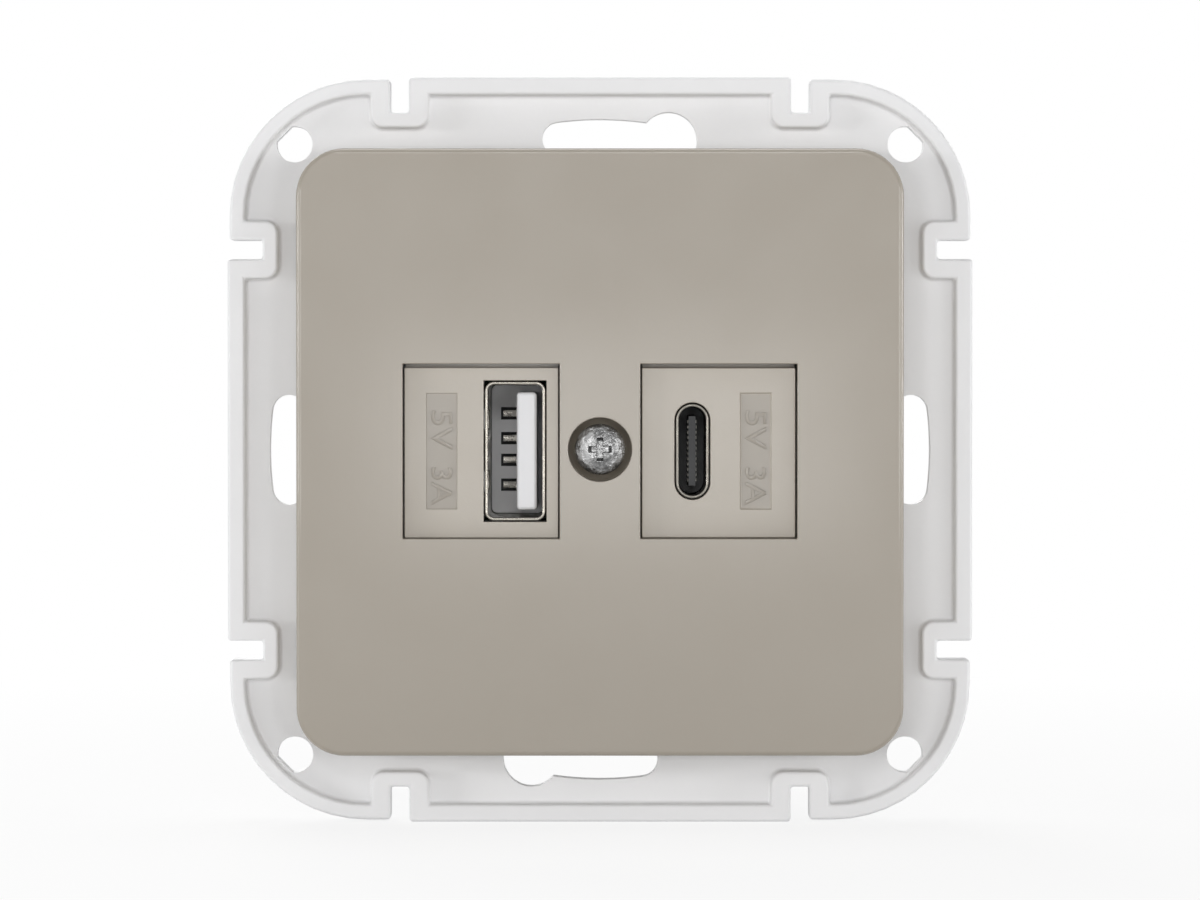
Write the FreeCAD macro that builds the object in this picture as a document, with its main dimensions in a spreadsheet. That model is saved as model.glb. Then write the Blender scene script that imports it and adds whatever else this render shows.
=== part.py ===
import FreeCAD, Part
import math
import os
import re
import Sketcher

# USB wall socket: a square centre plate with two charging ports on a white support plate,
# and behind it the casing that goes into a round wall box.
# X points right, Z up and the front faces -Y. The origin is the middle of the support plate's
# back face, which lies on the wall. Lengths are millimetres.
# "ahead" is a distance in front of the wall (-Y), "deep" is a distance behind it (+Y).

SIZES = (
    # Support plate
    ("plate_margin", 7.0),
    ("plate_corner", 13.0),
    ("plate_floor", 1.8),
    ("rim_rise", 1.6),
    ("rim_wall", 1.45),
    ("rim_edge", 0.4),
    ("notch_inset", 16.4),
    ("notch_width", 1.8),
    ("notch_reach", 3.35),
    ("notch_side_wall", 1.85),
    ("jog_corner", 1.2),
    ("corner_hole_inset", 6.3),
    ("corner_hole_radius", 1.72),
    ("corner_hole_flat", 1.4),
    ("box_screw_pitch", 60.0),
    ("slot_width", 3.2),
    ("slot_plain_angle", 7.5),
    ("slot_side_angle", 7.0),
    ("keyhole_angle", 12.5),
    ("keyhole_shift", 0.3),
    ("keyhole_radius", 2.7),
    # Casing
    ("case_side", 42.0),
    ("case_corner", 8.0),
    ("case_wall", 1.8),
    ("case_split", 8.0),
    ("case_deep", 30.0),
    ("case_gap", 0.4),
    ("flange_gap", 0.6),
    ("flange_corner", 6.0),
    ("flange_thickness", 1.4),
    ("deck_ahead", 5.5),
    ("deck_wall", 1.6),
    ("boss_radius", 3.6),
    ("boss_rise", 1.0),
    ("boss_reach", 2.2),
    ("post_offset", 15.4),
    ("post_radius", 3.1),
    ("vent_width", 14.0),
    ("vent_height", 1.6),
    ("vent_pitch", 3.2),
    ("vent_first", 1.0),
    # Cover
    ("cover_reach", 7.5),
    ("cover_draft", 0.2),
    ("cover_corner", 4.5),
    ("cover_ahead", 10.5),
    ("cover_face", 1.8),
    ("cover_wall", 1.5),
    ("cover_edge", 0.45),
    ("cover_drop", 0.1),
    ("cover_post_gap", 0.23),
    ("cover_post_height", 9.0),
    ("screw_rise", 0.17),
    ("screw_hole_radius", 3.0),
    ("screw_hole_reach", 2.6),
    ("window_bar", 7.56),
    ("window_width", 14.74),
    ("window_height", 16.4),
    # Inserts in the windows
    ("insert_gap", 0.15),
    ("insert_sunk", 1.0),
    ("insert_face", 1.2),
    ("insert_wall", 1.0),
    ("lip_reach", 1.3),
    ("lip_thickness", 1.2),
    ("lip_gap", 0.1),
    ("label_width", 2.9),
    ("label_height", 10.9),
    ("label_sunk", 0.2),
    ("label_a_inset", 3.64),
    ("label_c_inset", 3.88),
    # Ports
    ("port_gap", 0.1),
    ("port_sunk", 0.1),
    ("shell_sheet", 0.3),
    ("port_a_inset", 4.2),
    ("port_a_width", 5.12),
    ("port_a_height", 12.5),
    ("port_a_corner", 0.9),
    ("port_a_reach", 11.9),
    ("tongue_a_shift", 1.07),
    ("tongue_a_thickness", 1.9),
    ("tongue_a_height", 11.1),
    ("tongue_a_setback", 1.2),
    ("pocket_a_width", 1.7),
    ("pocket_a_height", 1.2),
    ("contact_a_inner", 1.05),
    ("contact_a_outer", 3.45),
    ("contact_a_width", 1.0),
    ("contact_a_thickness", 0.25),
    ("contact_a_setback", 1.0),
    ("spring_offset", 2.9),
    ("spring_width", 1.9),
    ("spring_length", 5.0),
    ("spring_setback", 1.6),
    ("leg_width", 1.6),
    ("leg_reach", 1.2),
    ("port_c_inset", 4.9),
    ("port_c_width", 2.56),
    ("port_c_height", 8.34),
    ("port_c_reach", 6.2),
    ("shell_c_length", 10.4),
    ("tongue_c_thickness", 0.7),
    ("tongue_c_height", 6.6),
    ("tongue_c_setback", 1.3),
    ("contact_c_pitch", 0.5),
    ("contact_c_width", 0.25),
    ("contact_c_thickness", 0.06),
    ("contact_c_setback", 0.5),
    ("riser_width", 4.6),
    ("riser_height", 10.4),
    # Screws and sleeves
    ("cover_screw_radius", 1.5),
    ("cover_screw_length", 8.0),
    ("cover_screw_head", 2.38),
    ("cover_screw_rim", 0.9),
    ("cover_screw_dome", 0.8),
    ("cover_screw_cross", 1.1),
    ("insert_nut_radius", 2.4),
    ("insert_nut_length", 5.0),
    ("small_screw_radius", 1.25),
    ("small_screw_head", 2.2),
    ("small_screw_head_height", 1.5),
    ("small_screw_cross", 0.9),
    ("cross_width", 0.6),
    ("cross_length", 2.6),
    ("plate_screw_reach", 3.0),
    ("plate_screw_bite", 3.2),
    ("plate_boss_radius", 2.2),
    ("plate_boss_end", 1.4),
    ("long_screw_bite", 6.5),
    ("long_screw_seat", 5.2),
    ("spacer_radius", 2.3),
    ("screw_gap", 0.15),
    ("thread_gap", 0.05),
    # Boards
    ("board_deep", 4.0),
    ("board_edge_gap", 0.4),
    ("port_board_thickness", 1.2),
    ("power_board_thickness", 1.6),
    ("board_spacing", 4.0),
    ("lead_gap", 0.2),
    ("header_inset", 2.1),
    ("header_width", 2.5),
    ("header_pitch", 2.54),
    ("header_pin", 0.64),
    ("header_pin_reach", 1.0),
    # Converter parts. Their widths, heights and places, and those of the posts, are given
    # for a board of layout_side
    ("layout_side", 37.6),
    ("part_gap", 0.1),
    ("transformer_x", -2.0),
    ("transformer_z", 6.0),
    ("core_width", 16.0),
    ("core_height", 14.0),
    ("core_thickness", 5.0),
    ("core_leg", 4.0),
    ("core_yoke", 2.0),
    ("core_stand", 0.5),
    ("bobbin_wall", 0.8),
    ("bobbin_depth", 13.0),
    ("bobbin_rail", 2.4),
    ("winding_gap", 0.5),
    ("input_can_radius", 4.0),
    ("input_can_length", 13.0),
    ("input_can_x", -14.3),
    ("input_can_upper_z", 8.2),
    ("input_can_lower_z", -0.2),
    ("output_can_radius", 3.15),
    ("output_can_length", 11.0),
    ("output_can_x", 11.0),
    ("output_can_upper_z", 9.2),
    ("output_can_lower_z", 2.0),
    ("can_edge", 0.5),
    ("fuse_radius", 3.2),
    ("fuse_length", 7.5),
    ("fuse_x", -14.8),
    ("fuse_z", -8.0),
    ("choke_radius", 3.2),
    ("choke_length", 9.0),
    ("choke_flange", 1.2),
    ("choke_waist", 2.4),
    ("choke_x", -2.5),
    ("choke_z", -5.6),
    ("box_capacitor_width", 13.0),
    ("box_capacitor_height", 5.0),
    ("box_capacitor_length", 11.0),
    ("box_capacitor_x", 9.0),
    ("box_capacitor_z", -5.8),
    ("rectifier_width", 6.4),
    ("rectifier_height", 5.0),
    ("rectifier_thickness", 2.4),
    ("rectifier_x", 2.0),
    ("rectifier_z", 10.0),
    ("switch_width", 5.0),
    ("switch_height", 4.0),
    ("switch_thickness", 1.6),
    ("switch_x", -8.0),
    ("switch_z", 4.0),
    ("coupler_width", 4.6),
    ("coupler_height", 6.4),
    ("coupler_thickness", 2.1),
    ("coupler_x", 9.0),
    ("coupler_z", -3.0),
    ("controller_side", 5.0),
    ("controller_thickness", 0.9),
    ("controller_x", 0.0),
    ("controller_z", -10.0),
    # Mains terminal
    ("terminal_width", 20.0),
    ("terminal_height", 9.6),
    ("terminal_pitch", 10.0),
    ("terminal_edge_gap", 0.3),
    ("terminal_rear_gap", 0.2),
    ("clamp_width", 6.4),
    ("clamp_length", 6.0),
    ("clamp_height", 6.8),
    ("clamp_rear_wall", 2.0),
    ("clamp_drop", 0.9),
    ("wire_hole_radius", 1.9),
    ("wire_guide_radius", 2.1),
    ("wire_entry_radius", 2.5),
    ("wire_drop", 3.0),
    ("clamp_screw_radius", 1.5),
    ("clamp_screw_head", 2.4),
    ("clamp_screw_head_height", 1.4),
    ("clamp_screw_reach", 2.4),
    ("driver_hole_radius", 2.6),
    ("tail_width", 3.0),
    ("tail_thickness", 0.8),
    ("tail_reach", 1.0),
)

NAMES = {name for name, value in SIZES}
CONTACT_COUNT_C = 12
HEADER_PINS = 5
VENTS = 5
HALF_TURNS = 2
QUARTER_TURNS = 4
# Angles in degrees
HALF_CORNER = 45
CORNER = 90
STRAIGHT = 180
FULL_TURN = 360
SAME_PLACE = 1e-6

# Sides and corners that follow from the casing's side, which the wall box limits
COVER_SIDE = "(case_side + 2 * cover_reach)"
COVER_BASE = f"({COVER_SIDE} + 2 * cover_draft)"
PLATE_SIDE = f"({COVER_SIDE} + 2 * plate_margin)"
FLANGE_SIDE = f"({COVER_SIDE} - 2 * cover_wall - 2 * flange_gap)"
OPENING = "(case_side + 2 * case_gap)"
CASE_INNER = "(case_side - 2 * case_wall)"
BOARD_SIDE = f"({CASE_INNER} - 2 * board_edge_gap)"
NOTCH_JOG = "(notch_width + 2 * notch_side_wall)"
INSERT_WIDTH = "(window_width - 2 * insert_gap)"
INSERT_HEIGHT = "(window_height - 2 * insert_gap)"
SHELL_A_WIDTH = "(port_a_width + 2 * shell_sheet)"
SHELL_A_HEIGHT = "(port_a_height + 2 * shell_sheet)"
SHELL_C_WIDTH = "(port_c_width + 2 * shell_sheet)"
SHELL_C_HEIGHT = "(port_c_height + 2 * shell_sheet)"


def shared(size):
    """A width, height or place inside the casing, which grows with the board."""
    return f"({size} * {BOARD_SIDE} / layout_side)"


CASE_CORNER = shared("case_corner")
OPENING_CORNER = f"({CASE_CORNER} + case_gap)"
CASE_INNER_CORNER = f"({CASE_CORNER} - case_wall)"
BOARD_CORNER = f"({CASE_INNER_CORNER} - board_edge_gap)"

# Faces at a distance ahead of the wall or deep behind it
COVER_HEIGHT = "(cover_ahead - plate_floor)"
COVER_SEAT = "(deck_ahead + boss_rise)"
SCREW_SEAT = "(cover_ahead - screw_hole_reach)"
INSERT_FRONT = "(cover_ahead - insert_sunk)"
PORT_FRONT = "(cover_ahead - insert_sunk - port_sunk)"
FLANGE_FRONT = "(plate_floor + flange_thickness)"
PORT_BOARD_BACK = "(board_deep + port_board_thickness)"
POWER_BOARD_FRONT = f"({PORT_BOARD_BACK} + board_spacing)"
POWER_BOARD_BACK = f"({POWER_BOARD_FRONT} + power_board_thickness)"
LONG_SEAT = f"({POWER_BOARD_BACK} + long_screw_seat)"
CASE_FLOOR = "(case_deep - case_wall)"
SHELL_C_BACK = f"(shell_c_length - {PORT_FRONT})"
TERMINAL_BACK = f"({CASE_FLOOR} - terminal_rear_gap)"
CLAMP_BACK = f"({TERMINAL_BACK} - clamp_rear_wall)"
CLAMP_MIDDLE = f"({CLAMP_BACK} - clamp_length / 2)"

# Places across the front
NOTCH_X = f"({PLATE_SIDE} / 2 - notch_inset)"
CORNER_HOLE = f"({PLATE_SIDE} / 2 - corner_hole_inset)"
KEYHOLE_DISTANCE = "(box_screw_pitch / 2 + keyhole_shift)"
PLATE_SCREW = "(case_side / 2 + plate_screw_reach)"
WINDOW_X = "((window_bar + window_width) / 2)"
PORT_A_X = "(window_bar / 2 + port_a_inset)"
PORT_C_X = "(window_bar / 2 + port_c_inset)"
LABEL_A_X = "(window_bar / 2 + window_width - label_a_inset)"
LABEL_C_X = "(window_bar / 2 + window_width - label_c_inset)"
TONGUE_A_LEFT = "(tongue_a_shift - tongue_a_thickness / 2)"
POST = shared("post_offset")
HEADER_X = f"({BOARD_SIDE} / 2 - header_inset)"

# Mains terminal, which rests near the lower wall of the casing
TERMINAL_BOTTOM = f"(terminal_edge_gap - {CASE_INNER} / 2)"
POLE = f"({shared('terminal_pitch')} / 2)"
CLAMP_TOP = f"({TERMINAL_BOTTOM} + {shared('terminal_height')} - clamp_drop)"
CLAMP_BOTTOM = f"({CLAMP_TOP} - {shared('clamp_height')})"
TAIL_Z = f"({CLAMP_TOP} - tail_thickness / 2)"
WIRE_Z = f"({CLAMP_TOP} - wire_drop)"

doc = FreeCAD.newDocument("usb_wall_socket")
sheet = doc.addObject("Spreadsheet::Sheet", "dim")
pieces = []


def fill_sheet():
    """Write every driving size into its own named cell."""
    for row, (name, value) in enumerate(SIZES, start=1):
        sheet.set(f"A{row}", name)
        sheet.set(f"B{row}", str(value))
        sheet.setAlias(f"B{row}", name)
    doc.recompute()


def formula(text):
    """Point the size names in a formula at their cells."""
    return re.sub(r"[a-z_]+", lambda word: "dim." + word[0] if word[0] in NAMES else word[0], text)


def bind(thing, setting, text):
    thing.setExpression(setting, formula(text))


def keep(thing):
    """Note a finished sub-part, whose label names its file."""
    thing.Label = thing.Name
    pieces.append(thing)
    return thing


def origin_part(body, role):
    return next(part for part in body.Origin.OriginFeatures if part.Role == role)


def measure(sketch, label, constraint, text):
    """Add a named dimension that follows a formula."""
    index = sketch.addConstraint(constraint)
    sketch.renameConstraint(index, label)
    bind(sketch, "Constraints." + label, text)


# Outlines: each function returns one that draws itself about the sketch's own origin


def arc(x, y, radius, start, end):
    circle = Part.Circle(FreeCAD.Vector(x, y, 0), FreeCAD.Vector(0, 0, 1), radius)
    return Part.ArcOfCircle(circle, math.radians(start), math.radians(end))


def line(x1, y1, x2, y2):
    return Part.LineSegment(FreeCAD.Vector(x1, y1, 0), FreeCAD.Vector(x2, y2, 0))


def rounded(width, height, corner):
    """A rectangle with four equal rounded corners."""

    def draw(sketch):
        reach, flat = 10, 8
        sketch.addGeometry(line(-flat, -reach, flat, -reach))
        sketch.addGeometry(line(reach, -flat, reach, flat))
        sketch.addGeometry(line(flat, reach, -flat, reach))
        sketch.addGeometry(line(-reach, flat, -reach, -flat))
        for turn, (x, y) in enumerate(((flat, -flat), (flat, flat), (-flat, flat), (-flat, -flat))):
            sketch.addGeometry(arc(x, y, reach - flat, (turn - 1) * CORNER, turn * CORNER))
        for side in range(4):
            sketch.addConstraint(Sketcher.Constraint("Tangent", side, 2, side + 4, 1))
            sketch.addConstraint(Sketcher.Constraint("Tangent", side + 4, 2, (side + 1) % 4, 1))
        for side in (0, 2):
            sketch.addConstraint(Sketcher.Constraint("Horizontal", side))
            sketch.addConstraint(Sketcher.Constraint("Vertical", side + 1))
        for other in (5, 6, 7):
            sketch.addConstraint(Sketcher.Constraint("Equal", 4, other))
        sketch.addConstraint(Sketcher.Constraint("Symmetric", 7, 3, 5, 3, -1, 1))
        across = Sketcher.Constraint("Distance", 0, 2 * flat)
        measure(sketch, "across", across, f"{width} - 2 * {corner}")
        upward = Sketcher.Constraint("Distance", 1, 2 * flat)
        measure(sketch, "upward", upward, f"{height} - 2 * {corner}")
        measure(sketch, "corner", Sketcher.Constraint("Radius", 4, reach - flat), corner)

    return draw


def square_cut(width, height):
    """A rectangle with sharp corners."""

    def draw(sketch):
        reach = 5
        sketch.addGeometry(line(-reach, -reach, reach, -reach))
        sketch.addGeometry(line(reach, -reach, reach, reach))
        sketch.addGeometry(line(reach, reach, -reach, reach))
        sketch.addGeometry(line(-reach, reach, -reach, -reach))
        for side in range(4):
            sketch.addConstraint(Sketcher.Constraint("Coincident", side, 2, (side + 1) % 4, 1))
        for side in (0, 2):
            sketch.addConstraint(Sketcher.Constraint("Horizontal", side))
            sketch.addConstraint(Sketcher.Constraint("Vertical", side + 1))
        sketch.addConstraint(Sketcher.Constraint("Symmetric", 0, 1, 1, 2, -1, 1))
        measure(sketch, "across", Sketcher.Constraint("Distance", 0, 2 * reach), width)
        measure(sketch, "upward", Sketcher.Constraint("Distance", 1, 2 * reach), height)

    return draw


def stadium(width, height):
    """A tall outline whose ends are half circles."""

    def draw(sketch):
        reach = 2
        sketch.addGeometry(line(reach, -reach, reach, reach))
        sketch.addGeometry(arc(0, reach, reach, 0, STRAIGHT))
        sketch.addGeometry(line(-reach, reach, -reach, -reach))
        sketch.addGeometry(arc(0, -reach, reach, STRAIGHT, FULL_TURN))
        for piece in range(4):
            sketch.addConstraint(Sketcher.Constraint("Tangent", piece, 2, (piece + 1) % 4, 1))
        sketch.addConstraint(Sketcher.Constraint("Vertical", 0))
        sketch.addConstraint(Sketcher.Constraint("Equal", 1, 3))
        sketch.addConstraint(Sketcher.Constraint("Symmetric", 1, 3, 3, 3, -1, 1))
        measure(sketch, "rounding", Sketcher.Constraint("Radius", 1, reach), f"{width} / 2")
        measure(sketch, "flat", Sketcher.Constraint("Distance", 0, 2 * reach), f"{height} - {width}")

    return draw


def disc(radius):
    """A circle."""

    def draw(sketch):
        reach = 2
        sketch.addGeometry(Part.Circle(FreeCAD.Vector(), FreeCAD.Vector(0, 0, 1), reach))
        sketch.addConstraint(Sketcher.Constraint("Coincident", 0, 3, -1, 1))
        measure(sketch, "size", Sketcher.Constraint("Radius", 0, reach), radius)

    return draw


def clipped_disc(radius, flat):
    """A circle cut off by a straight chord on its +x side."""

    def draw(sketch):
        reach = 2
        side = reach * math.cos(math.radians(HALF_CORNER))
        sketch.addGeometry(arc(0, 0, reach, HALF_CORNER, FULL_TURN - HALF_CORNER))
        sketch.addGeometry(line(side, -side, side, side))
        sketch.addConstraint(Sketcher.Constraint("Coincident", 0, 3, -1, 1))
        sketch.addConstraint(Sketcher.Constraint("Coincident", 0, 2, 1, 1))
        sketch.addConstraint(Sketcher.Constraint("Coincident", 1, 2, 0, 1))
        sketch.addConstraint(Sketcher.Constraint("Vertical", 1))
        measure(sketch, "size", Sketcher.Constraint("Radius", 0, reach), radius)
        measure(sketch, "chord", Sketcher.Constraint("DistanceX", -1, 1, 1, 1, side), flat)

    return draw


def arc_slot(distance, width, left_angle, right_angle):
    """A curved slot about the sketch's origin, from an angle left of its +y axis to one right of it."""

    def draw(sketch):
        middle, half, swing = 30, 2, 8
        left_x, end_y = -middle * math.sin(math.radians(swing)), middle * math.cos(math.radians(swing))
        start, end = CORNER - swing, CORNER + swing
        sketch.addGeometry(arc(0, 0, middle + half, start, end))
        sketch.addGeometry(arc(left_x, end_y, half, end, end + STRAIGHT))
        sketch.addGeometry(arc(0, 0, middle - half, start, end))
        sketch.addGeometry(arc(-left_x, end_y, half, start - STRAIGHT, start))
        sketch.addConstraint(Sketcher.Constraint("Coincident", 0, 3, -1, 1))
        sketch.addConstraint(Sketcher.Constraint("Coincident", 2, 3, -1, 1))
        sketch.addConstraint(Sketcher.Constraint("Tangent", 0, 2, 1, 1))
        sketch.addConstraint(Sketcher.Constraint("Tangent", 1, 2, 2, 2))
        sketch.addConstraint(Sketcher.Constraint("Tangent", 2, 1, 3, 1))
        sketch.addConstraint(Sketcher.Constraint("Tangent", 3, 2, 0, 1))
        outer = Sketcher.Constraint("Radius", 0, middle + half)
        measure(sketch, "outer", outer, f"{distance} + {width} / 2")
        inner = Sketcher.Constraint("Radius", 2, middle - half)
        measure(sketch, "inner", inner, f"{distance} - {width} / 2")
        to_left = Sketcher.Constraint("DistanceX", 1, 3, -1, 1, -left_x)
        measure(sketch, "to_left", to_left, f"{distance} * sin({left_angle} * 1 deg)")
        to_right = Sketcher.Constraint("DistanceX", -1, 1, 3, 3, -left_x)
        measure(sketch, "to_right", to_right, f"{distance} * sin({right_angle} * 1 deg)")

    return draw


# Features of a moulded or drawn piece
# Outlines lie parallel to the wall, and low and high are distances ahead of it.


def make_body(name, x="0", z="0"):
    body = doc.addObject("PartDesign::Body", name)
    bind(body, "Placement.Base.x", x)
    bind(body, "Placement.Base.z", z)
    return body


def outline(body, name, draw, ahead, x, z, turn=0):
    sketch = body.newObject("Sketcher::SketchObject", name)
    sketch.AttachmentSupport = [(origin_part(body, "XZ_Plane"), "")]
    sketch.MapMode = "FlatFace"
    sketch.AttachmentOffset = FreeCAD.Placement(FreeCAD.Vector(), FreeCAD.Rotation(turn, 0, 0))
    draw(sketch)
    bind(sketch, "AttachmentOffset.Base.x", x)
    bind(sketch, "AttachmentOffset.Base.y", z)
    bind(sketch, "AttachmentOffset.Base.z", ahead)
    return sketch


def add(body, name, draw, low, high, x="0", z="0"):
    """Raise an outline from low to high."""
    sketch = outline(body, name + "_outline", draw, low, x, z)
    pad = body.newObject("PartDesign::Pad", name)
    pad.Profile = sketch
    bind(pad, "Length", f"({high}) - ({low})")
    doc.recompute()
    return pad


def check_cut(body, name, before):
    if not body.Shape.Volume < before:
        raise RuntimeError(name + " removes nothing")


def cut(body, name, draw, low, high, x="0", z="0", turn=0):
    """Remove an outline between low and high."""
    before = body.Shape.Volume
    sketch = outline(body, name + "_outline", draw, high, x, z, turn)
    pocket = body.newObject("PartDesign::Pocket", name)
    pocket.Profile = sketch
    bind(pocket, "Length", f"({high}) - ({low})")
    doc.recompute()
    check_cut(body, name, before)
    return pocket


def cut_from_below(body, name, draw, bottom, top, x, deep):
    """Remove an outline that lies level, between two heights."""
    before = body.Shape.Volume
    sketch = body.newObject("Sketcher::SketchObject", name + "_outline")
    sketch.AttachmentSupport = [(origin_part(body, "XY_Plane"), "")]
    sketch.MapMode = "FlatFace"
    draw(sketch)
    bind(sketch, "AttachmentOffset.Base.x", x)
    bind(sketch, "AttachmentOffset.Base.y", deep)
    bind(sketch, "AttachmentOffset.Base.z", top)
    pocket = body.newObject("PartDesign::Pocket", name)
    pocket.Profile = sketch
    bind(pocket, "Length", f"({top}) - ({bottom})")
    doc.recompute()
    check_cut(body, name, before)


def repeat_round(body, name, features, count):
    """Repeat features evenly round the axis that runs into the wall."""
    pattern = body.newObject("PartDesign::PolarPattern", name)
    pattern.Originals = features
    pattern.Axis = (origin_part(body, "Y_Axis"), [""])
    pattern.Angle = FULL_TURN
    pattern.Occurrences = count
    body.Tip = pattern
    doc.recompute()


def round_front_edge(body, name, ahead, radius):
    """Round the edges of the face that lies this many millimetres ahead of the wall."""
    base = body.Tip
    edges = []
    for index, edge in enumerate(base.Shape.Edges, start=1):
        box = edge.BoundBox
        if max(abs(box.YMin + ahead), abs(box.YMax + ahead)) < SAME_PLACE:
            edges.append(f"Edge{index}")
    fillet = body.newObject("PartDesign::Fillet", name)
    fillet.Base = (base, edges)
    bind(fillet, "Radius", radius)
    doc.recompute()


# Simple solids for screws, boards and their components


def block(name, wide, thick, tall, x, deep, z):
    """A box about x and z that starts at a distance behind the wall and runs backwards."""
    box = doc.addObject("Part::Box", name)
    bind(box, "Length", wide)
    bind(box, "Width", thick)
    bind(box, "Height", tall)
    bind(box, "Placement.Base.x", f"{x} - ({wide}) / 2")
    bind(box, "Placement.Base.y", deep)
    bind(box, "Placement.Base.z", f"{z} - ({tall}) / 2")
    return box


def rod(name, radius, length, x, deep, z):
    """A cylinder that starts at a distance behind the wall and runs backwards."""
    cylinder = doc.addObject("Part::Cylinder", name)
    cylinder.Placement = FreeCAD.Placement(FreeCAD.Vector(), FreeCAD.Rotation(FreeCAD.Vector(1, 0, 0), -90))
    bind(cylinder, "Radius", radius)
    bind(cylinder, "Height", length)
    bind(cylinder, "Placement.Base.x", x)
    bind(cylinder, "Placement.Base.y", deep)
    bind(cylinder, "Placement.Base.z", z)
    return cylinder


def upright_rod(name, radius, length, x, deep, z):
    """A cylinder that starts at z and runs upwards."""
    cylinder = doc.addObject("Part::Cylinder", name)
    bind(cylinder, "Radius", radius)
    bind(cylinder, "Height", length)
    bind(cylinder, "Placement.Base.x", x)
    bind(cylinder, "Placement.Base.y", deep)
    bind(cylinder, "Placement.Base.z", z)
    return cylinder


def join(name, parts):
    joined = doc.addObject("Part::MultiFuse", name)
    joined.Shapes = parts
    joined.Refine = True
    return joined


def carve(name, base, tools):
    carved = doc.addObject("Part::Cut", name)
    carved.Base = base
    carved.Tool = tools[0] if len(tools) == 1 else join(name + "_tools", tools)
    return carved


def group(name, parts):
    """Separate like pieces that share one node."""
    compound = doc.addObject("Part::Compound", name)
    compound.Links = parts
    return compound


def cross(name, x, deep, z, reach):
    """The two blades of a screwdriver's cross, starting at a distance behind the wall."""
    return join(name, [
        block(name + "_level", "cross_length", reach, "cross_width", x, deep, z),
        block(name + "_upright", "cross_width", reach, "cross_length", x, deep, z),
    ])


def screw(name, x, z, seat, bite, faces_front):
    """A small pan-head screw whose head rests on the seat plane."""
    if faces_front:
        head_start = f"{seat} - small_screw_head_height"
        shank_start = seat
        recess = f"{head_start} - thread_gap"
    else:
        head_start = seat
        shank_start = f"{seat} - ({bite})"
        recess = f"{seat} + small_screw_head_height - small_screw_cross"
    solid = join(name + "_blank", [
        rod(name + "_head", "small_screw_head", "small_screw_head_height", x, head_start, z),
        rod(name + "_shank", "small_screw_radius", bite, x, shank_start, z),
    ])
    return carve(name, solid, [cross(name + "_cross", x, recess, z, "small_screw_cross + thread_gap")])


# Sub-parts, from the wall outwards


def make_support_plate():
    """White moulded plate: rim round the edge, eight clip notches, screw slots and corner holes."""
    body = make_body("support_plate")
    front = "(plate_floor + rim_rise)"
    add(body, "plate_slab", rounded(PLATE_SIDE, PLATE_SIDE, "plate_corner"), "0", front)
    rim_front = sheet.plate_floor + sheet.rim_rise
    round_front_edge(body, "rim_rounding", rim_front, "min(rim_edge; rim_wall / 3)")
    floor_side = f"({PLATE_SIDE} - 2 * rim_wall)"
    floor = rounded(floor_side, floor_side, "(plate_corner - rim_wall)")
    cut(body, "floor_recess", floor, "plate_floor", front)
    jogs, notches = [], []
    jog_reach = "(notch_reach + rim_wall / 2)"
    for side, sign in (("left", "-"), ("right", "")):
        place = f"{sign}{NOTCH_X}"
        jog = rounded(NOTCH_JOG, jog_reach, "min(jog_corner; rim_wall)")
        middle = f"{PLATE_SIDE} / 2 - rim_wall / 2 - {jog_reach} / 2"
        jogs.append(add(body, f"jog_{side}", jog, "plate_floor / 2", front, place, middle))
    repeat_round(body, "jogs", jogs, QUARTER_TURNS)
    for side, sign in (("left", "-"), ("right", "")):
        place = f"{sign}{NOTCH_X}"
        notch = square_cut("notch_width", "2 * notch_reach")
        notches.append(cut(body, f"notch_{side}", notch, "0", front, place, f"{PLATE_SIDE} / 2"))
    repeat_round(body, "notches", notches, QUARTER_TURNS)
    hole = clipped_disc("corner_hole_radius", "corner_hole_flat")
    corner = cut(body, "corner_hole", hole, "0", "plate_floor", CORNER_HOLE, CORNER_HOLE, HALF_CORNER)
    repeat_round(body, "corner_holes", [corner], QUARTER_TURNS)
    keyed = arc_slot("box_screw_pitch / 2", "slot_width", "slot_plain_angle", "keyhole_angle")
    key_x = f"{KEYHOLE_DISTANCE} * sin(keyhole_angle * 1 deg)"
    key_z = f"{KEYHOLE_DISTANCE} * cos(keyhole_angle * 1 deg)"
    slot = cut(body, "keyed_slot", keyed, "0", "plate_floor")
    keyhole = cut(body, "keyhole", disc("keyhole_radius"), "0", "plate_floor", key_x, key_z)
    repeat_round(body, "keyed_slots", [slot, keyhole], HALF_TURNS)
    plain = arc_slot("box_screw_pitch / 2", "slot_width", "slot_side_angle", "slot_side_angle")
    side_slot = cut(body, "side_slot", plain, "0", "plate_floor", turn=CORNER)
    repeat_round(body, "side_slots", [side_slot], HALF_TURNS)
    boss_end = "-(plate_screw_bite + plate_boss_end)"
    boss = add(body, "screw_boss", disc("plate_boss_radius"), boss_end, "plate_floor / 2",
               "0", PLATE_SCREW)
    repeat_round(body, "screw_bosses", [boss], QUARTER_TURNS)
    bore_end = "-(plate_screw_bite + screw_gap)"
    bore = cut(body, "screw_bore", disc("small_screw_radius + thread_gap"), bore_end,
               "plate_floor", "0", PLATE_SCREW)
    repeat_round(body, "screw_bores", [bore], QUARTER_TURNS)
    opening = rounded(OPENING, OPENING, OPENING_CORNER)
    cut(body, "case_opening", opening, boss_end, "plate_floor")
    return keep(body)


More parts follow.
